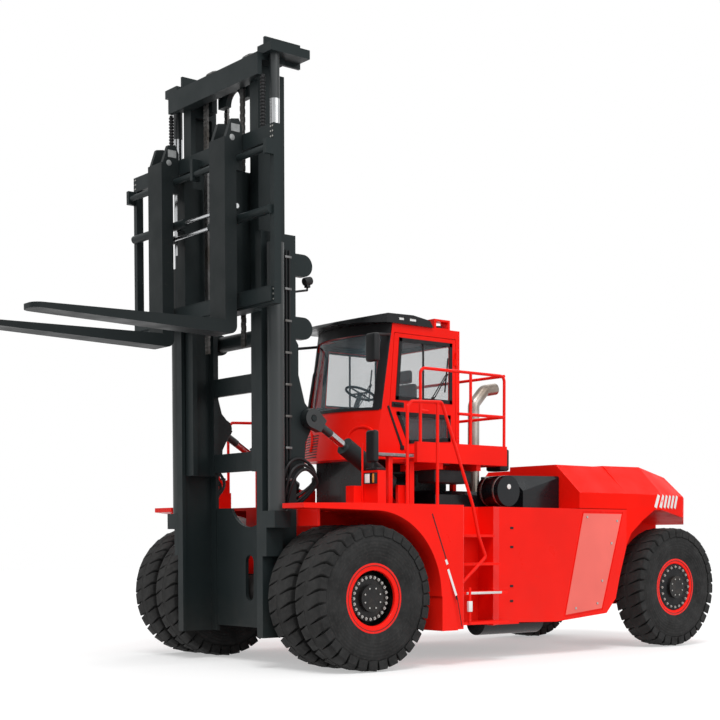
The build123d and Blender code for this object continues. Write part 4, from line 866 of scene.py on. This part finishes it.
class TRUCK_OT_lamps(TruckPiece, bpy.types.Operator):
    """Work lamps on the posts and the mast"""
    bl_idname = "truck.lamps"
    bl_label = "Lamps"

    # Each post carries a lamp and a marker in narrow frames
    lamp = (1.74, 1.85)
    marker = (1.89, 1.94)
    foot = 2.36
    head = 2.48
    rim = 0.009
    visor_lamps = (
        ((0.802, 1.505, 4.654), (0.848, 1.595, 4.686), 0.004),
        ((0.802, 1.695, 4.654), (0.848, 1.815, 4.686), 0.004),
    )
    mast_lamp_box = (((1.015, -0.225, 4.86), (1.085, -0.17, 4.90), 0.008),)
    mast_lamp_bars = (
        ((1.00, -0.365, 4.80), (1.05, -0.20, 4.83), 0.014, 10),
        ((1.05, -0.20, 4.82), (1.05, -0.20, 4.90), 0.012, 10),
        ((1.05, -0.25, 4.93), (1.05, -0.14, 4.96), 0.052, 18, 0.008),
    )

    def execute(self, context):
        foot, head = self.foot, self.head
        low, high = foot - self.rim, head + self.rim
        rows = (("post_lamps", "clear", self.lamp, ["lamps"]), ("post_markers", "amber", self.marker, []))
        bezels = bmesh.new()
        for name, finish, (x0, x1), replaced in rows:
            shape = bmesh.new()
            dress(shape, [((x0, 0.18, foot), (x1, 0.22, head), 0.008)])
            piece(name, shape, finish, replaces=replaced)
            uprights = ((x0 - self.rim, low, x0, high), (x1, low, x1 + self.rim, high))
            for near, under, far, over in (*uprights, (x0, head, x1, high), (x0, low, x1, foot)):
                dress(bezels, [((near, 0.176, under), (far, 0.2195, over))])
        piece("lamp_bezels", bezels, "gasket")
        shape = bmesh.new()
        dress(shape, self.visor_lamps)
        piece("visor_lamps", shape, "clear")
        shape = bmesh.new()
        dress(shape, self.mast_lamp_box, self.mast_lamp_bars)
        piece("mast_lamps", shape, "plastic", "outer_mast")
        return {"FINISHED"}


class TRUCK_OT_mast_trim(TruckPiece, bpy.types.Operator):
    """Hoses, clamps and bolt heads on the mast, and the guards of the carriage hoses"""
    bl_idname = "truck.mast_trim"
    bl_label = "Mast trim"

    # Hose routes from the lift cylinder's foot over to the mast rail
    loops = (
        (
            (1.045, -0.60, 2.12), (1.07, -0.62, 2.50), (1.09, -0.42, 2.72), (1.09, -0.14, 2.60),
            (1.06, -0.06, 2.36), (0.99, -0.35, 2.20),
        ),
        (
            (1.045, -0.57, 2.06), (1.13, -0.60, 2.42), (1.15, -0.40, 2.64), (1.15, -0.16, 2.52),
            (1.12, -0.09, 2.34), (0.98, -0.35, 2.12),
        ),
        (
            (1.045, -0.55, 2.02), (1.19, -0.58, 2.36), (1.21, -0.38, 2.58), (1.20, -0.18, 2.46),
            (1.16, -0.12, 2.32), (0.97, -0.35, 2.06),
        ),
    )

    def execute(self, context):
        hoses, clamps = bmesh.new(), bmesh.new()
        for sign in signs:
            for points in self.loops:
                spots = [at(sign * x, y, z) for x, y, z in points]
                tube_in(hoses, spots, 0.021)
                bar_in(clamps, spots[0] - Vector((0, 0, 0.02)), spots[0] + Vector((0, 0, 0.06)), 0.027, 6)
        dress(hoses, bars=[((1.036, y, 2.25), (1.036, y, 5.30), 0.014, 10) for y in (-0.47, -0.52)])
        levels = [2.40 + 0.40 * row for row in range(8)]
        dress(clamps, [((1.0205, -0.545, z), (1.056, -0.445, z + 0.03), 0.004) for z in levels])
        piece("mast_hoses", hoses, "hose", "outer_mast")
        piece("mast_clamps", clamps, "chain", "outer_mast")
        shape = bmesh.new()
        x, y = 1.088, -0.899
        coils = [6.68 + 0.041 * row for row in range(17)]
        dress(shape, bars=[((x, y, 6.66), (x, y, 7.388), 0.024, 12)])
        dress(shape, bars=[((x, y, z), (x, y, z + 0.026), 0.034, 14, 0.006) for z in coils])
        piece("hose_guards", shape, "hose", "inner_mast")
        shape = bmesh.new()
        spots = [(x, z) for x in (1.62, 1.66) for z in (4.54, 4.60, 4.66, 6.47, 6.53, 6.59)]
        dress(shape, bars=[((x, -1.158, z), (x, -1.151, z), 0.011, 6) for x, z in spots])
        piece("carriage_bolts", shape, "bolt", "carriage")
        # pale keeper plates and pin ends on both faces of the hanger ears
        for side, middle in (("left", 0.845), ("right", -0.650)):
            shape = bmesh.new()
            for sign in (-1, 1):
                near, far = middle + sign * 0.175, middle + sign * 0.181
                box_in(shape, at(near, -1.325, 6.64), at(far, -1.20, 6.735), 0.002, 1)
                pin_in(shape, near, far, (-1.31, 6.565), 0.038, 20, 0.002)
            piece("fork_keepers_" + side, shape, "keeper", "fork_" + side)
        return {"FINISHED"}


class TRUCK_OT_body_trim(TruckPiece, bpy.types.Operator):
    """White stripes and strips, seams, latches, steps, small dark boxes, and painted highlights on the
    hinged panels and the air drum
    """
    bl_idname = "truck.body_trim"
    bl_label = "Body trim"

    # On the fender's leg: start, end, width, and a seam's depth
    white_strips = (((1.205, 1.25), (1.335, 0.94), 0.034), ((1.165, 1.375), (1.180, 1.345), 0.034))
    dark_seams = (
        ((0.93, 1.97), (1.165, 1.40), 0.016, 0.003),
        ((1.36, 0.89), (1.445, 0.52), 0.010, 0.003),
        ((1.345, 0.905), (1.352, 0.885), 0.028, 0.004),
    )
    # The hinged panel's bolts as Y and height, and its two ends in Y at foot and head
    panel_bolts = ((4.33, 1.98), (4.98, 1.93), (4.86, 1.60), (4.10, 0.66), (4.56, 0.72), (4.66, 1.05))
    panel_foot = (3.892, 4.655)
    panel_head = (4.257, 5.083)
    latch_heights = (1.812, 1.549, 1.008, 0.799)
    latch_knob = (((1.70, 2.49, 2.065), (1.747, 2.49, 2.065), 0.032, 16, 0.004),)
    # Dark boxes below the platform and behind its end
    platform_boxes = (
        ((1.04, 1.66, 2.42), (1.40, 2.36, 2.60), 0.03), ((1.06, 2.934, 2.62), (1.36, 3.12, 2.93), 0.03),
    )
    tread_edge = (((2.06, 1.64, 0.926), (2.064, 2.29, 0.958), 0.001),)
    # The stair post with its white cap, and the guard bar beside the lamp post
    round_posts = (
        ((2.108, 1.66, 0.545), (2.108, 1.66, 1.02), 0.018, 14, 0.003),
        ((1.668, 0.205, 2.10), (1.668, 0.205, 2.87), 0.014, 12, 0.003),
    )
    post_cap = (((2.088, 1.625, 0.70), (2.132, 1.69, 0.84), 0.006),)
    # The step plate before the walkway, and its post
    step_plate = (((1.27, 0.66, 2.745), (1.438, 1.268, 2.785), 0.004),)
    step_post = (((1.335, 0.86, 2.101), (1.40, 0.93, 2.745), 0.004),)

    def stripes(self, sign):
        """Six slanted stripes laid on the counterweight's side, which draws in behind the wheel."""
        shape = bmesh.new()
        for index in range(6):
            y = 5.90 + 0.122 * index
            slant_in(shape, 0.0, (y, 2.17), (y + 0.055, 2.305), self.sizes.stripe_width, 1.0)
        for vert in shape.verts:
            y = vert.co.y - AXLE_Y
            wall = 1.73 - 0.03 * (y - 5.20) / 0.85 if y < 6.05 else 1.70 - 0.20 * (y - 6.05) / 0.75
            vert.co.x = sign * (wall + (0.005 if vert.co.x > 0 else 0.001))
        bmesh.ops.recalc_face_normals(shape, faces=shape.faces)
        return shape

    def panel_highlight_skin(self, sign):
        """A painted highlight: a paler red skin on the hinged panel, standing in for sunlight on it."""
        shape = bmesh.new()
        bmesh.ops.create_cube(shape, size=1.0)
        for vert in shape.verts:
            w, u, v = (part + 0.5 for part in vert.co)
            foot, head = (row[0] + (row[1] - row[0]) * u for row in (self.panel_foot, self.panel_head))
            low, high = 0.572 + 0.074 * u, 2.032
            vert.co = at(sign * (1.7305 + 0.0035 * w), foot + (head - foot) * v, low + (high - low) * v)
        bmesh.ops.recalc_face_normals(shape, faces=shape.faces)
        return shape

    def execute(self, context):
        white, dark, edges, steel, plate, posts, panel = (bmesh.new() for index in range(7))
        for sign in signs:
            join(white, self.stripes(sign))
            for start, end, width in self.white_strips:
                slant_in(white, sign * 2.1925, start, end, width, 0.004)
            for start, end, width, depth in self.dark_seams:
                slant_in(dark, sign * 2.1915, start, end, width, depth)
            join(panel, self.panel_highlight_skin(sign))
        latches = [((1.7295, 2.77, z - 0.016), (1.7355, 2.83, z + 0.016), 0.002) for z in self.latch_heights]
        dress(dark, [*latches, *self.platform_boxes], self.latch_knob)
        dress(white, self.post_cap)
        dress(edges, self.tread_edge)
        dress(plate, self.step_plate)
        dress(posts, self.step_post, self.round_posts)
        dress(steel, bars=[((1.735, y, z), (1.742, y, z), 0.018, 12) for y, z in self.panel_bolts])
        # the air drum's straps, and a white disc on its end that is a painted highlight on the drum's domed
        # end
        for x in (1.20, 1.45):
            pin_in(steel, x, x + 0.03, (2.90, 2.332), 0.2175, 48, 0.002)
        pin_in(white, 1.564, 1.572, (2.905, 2.39), 0.036, 20, 0.002)
        for name, shape, finish in (
            ("white_marks_and_drum_highlight", white, "white"),
            ("dark_fittings", dark, "gasket"),
            ("tread_edges", edges, "plate"),
            ("panel_bolts", steel, "bolt"),
            ("step_plates", plate, "deck"),
            ("step_posts", posts, "red"),
            ("panel_highlight_skins", panel, "panel"),
        ):
            piece(name, shape, finish)
        return {"FINISHED"}


# The fitted camera in the picture's pixels, and its film in millimetres
PICTURE_PX = 720.0
FOCAL_PX = 1402.94
CENTRE_X_PX = 378.09
CENTRE_Y_PX = 611.33
FILM_MM = 36.0


class TRUCK_OT_stage(TruckPiece, bpy.types.Operator):
    """Pale floor, studio light and the camera at the photograph's angle"""
    bl_idname = "truck.stage"
    bl_label = "Stage"

    def floor(self):
        shape = bmesh.new()
        bmesh.ops.create_grid(shape, x_segments=1, y_segments=1, size=60.0)
        floor = stand("floor", mesh_of("floor", shape))
        graph = Graph("pale floor")
        tone = graph.tones(graph.noise(0.4), (0.62, 0.62, 0.62), 0.98, 1.02)
        soft = graph.node("BsdfDiffuse", {"Color": tone}).outputs[0]
        glow = graph.node("Emission", {"Color": (0.42, 0.42, 0.42, 1.0)}).outputs[0]
        both = graph.node("AddShader", {0: soft, 1: glow}).outputs[0]
        graph.finish(graph.node("MixShader", {0: graph.seen(), 1: soft, 2: both}))
        floor.data.materials.append(graph.owner)

    def lights(self, scene):
        sky = Graph("studio", world=True)
        scene.world = sky.owner
        unlit, lit = (
            sky.node("Background", {"Color": (1.0, 1.0, 1.0, 1.0), "Strength": strength}).outputs[0]
            for strength in (0.5, 1.0)
        )
        sky.finish(sky.node("MixShader", {0: sky.seen(), 1: unlit, 2: lit}))
        for name, direction, strength, spread in (
            ("key", (-0.55, 0.45, -0.95), self.sizes.lamp_level, 25.0),
            ("side", (-0.95, -0.15, -0.45), 0.8, 40.0),
            ("back", (0.5, -0.9, -0.8), 0.6, 40.0),
        ):
            lamp = bpy.data.lights.new(name, "SUN")
            lamp.energy = strength
            lamp.angle = math.radians(spread)
            stand(name, lamp).rotation_euler = Vector(direction).to_track_quat("-Z", "Y").to_euler()

    def camera(self, scene):
        camera = bpy.data.cameras.new("photo view")
        camera.sensor_fit = "HORIZONTAL"
        camera.sensor_width = FILM_MM
        camera.lens = FILM_MM * FOCAL_PX / PICTURE_PX
        camera.shift_x = 0.5 - CENTRE_X_PX / PICTURE_PX
        camera.shift_y = CENTRE_Y_PX / PICTURE_PX - 0.5
        camera.clip_end = 200.0
        azimuth, elevation, roll = 50.772, -2.780, -0.053
        place = Matrix.Translation(at(15.639, -10.946, 1.603))
        for angle, axis in ((azimuth, "Z"), (90.0 + elevation, "X"), (roll, "Z")):
            place = place @ Matrix.Rotation(math.radians(angle), 4, axis)
        scene.camera = stand("photo view", camera)
        scene.camera.matrix_world = place

    def execute(self, context):
        self.floor()
        self.lights(context.scene)
        self.camera(context.scene)
        context.scene.view_settings.view_transform = "Standard"
        return {"FINISHED"}


class TRUCK_PT_panel(bpy.types.Panel):
    """Lists the pieces"""
    bl_label = "Lift truck"
    bl_space_type = "VIEW_3D"
    bl_region_type = "UI"
    bl_category = "Truck"

    def draw(self, context):
        for settings in (context.scene.truck_colours, context.scene.truck_sizes):
            for name in settings.__annotations__:
                self.layout.prop(settings, name)
        for operator in operators:
            self.layout.operator(operator.bl_idname)


operators = (
    TRUCK_OT_finishes, TRUCK_OT_tyres, TRUCK_OT_wheel_nuts, TRUCK_OT_chains, TRUCK_OT_seat,
    TRUCK_OT_doors, TRUCK_OT_cab_trim, TRUCK_OT_mirrors, TRUCK_OT_lamps, TRUCK_OT_mast_trim,
    TRUCK_OT_body_trim, TRUCK_OT_stage,
)
classes = (TruckColours, TruckSizes, *operators, TRUCK_PT_panel)


def register():
    for item in classes:
        bpy.utils.register_class(item)
    bpy.types.Scene.truck_colours = PointerProperty(type=TruckColours)
    bpy.types.Scene.truck_sizes = PointerProperty(type=TruckSizes)


def unregister():
    del bpy.types.Scene.truck_sizes
    del bpy.types.Scene.truck_colours
    for item in reversed(classes):
        bpy.utils.unregister_class(item)


def main():
    register()
    for operator in operators:
        group, name = operator.bl_idname.split(".")
        getattr(getattr(bpy.ops, group), name)()


if __name__ == "__main__":
    main()
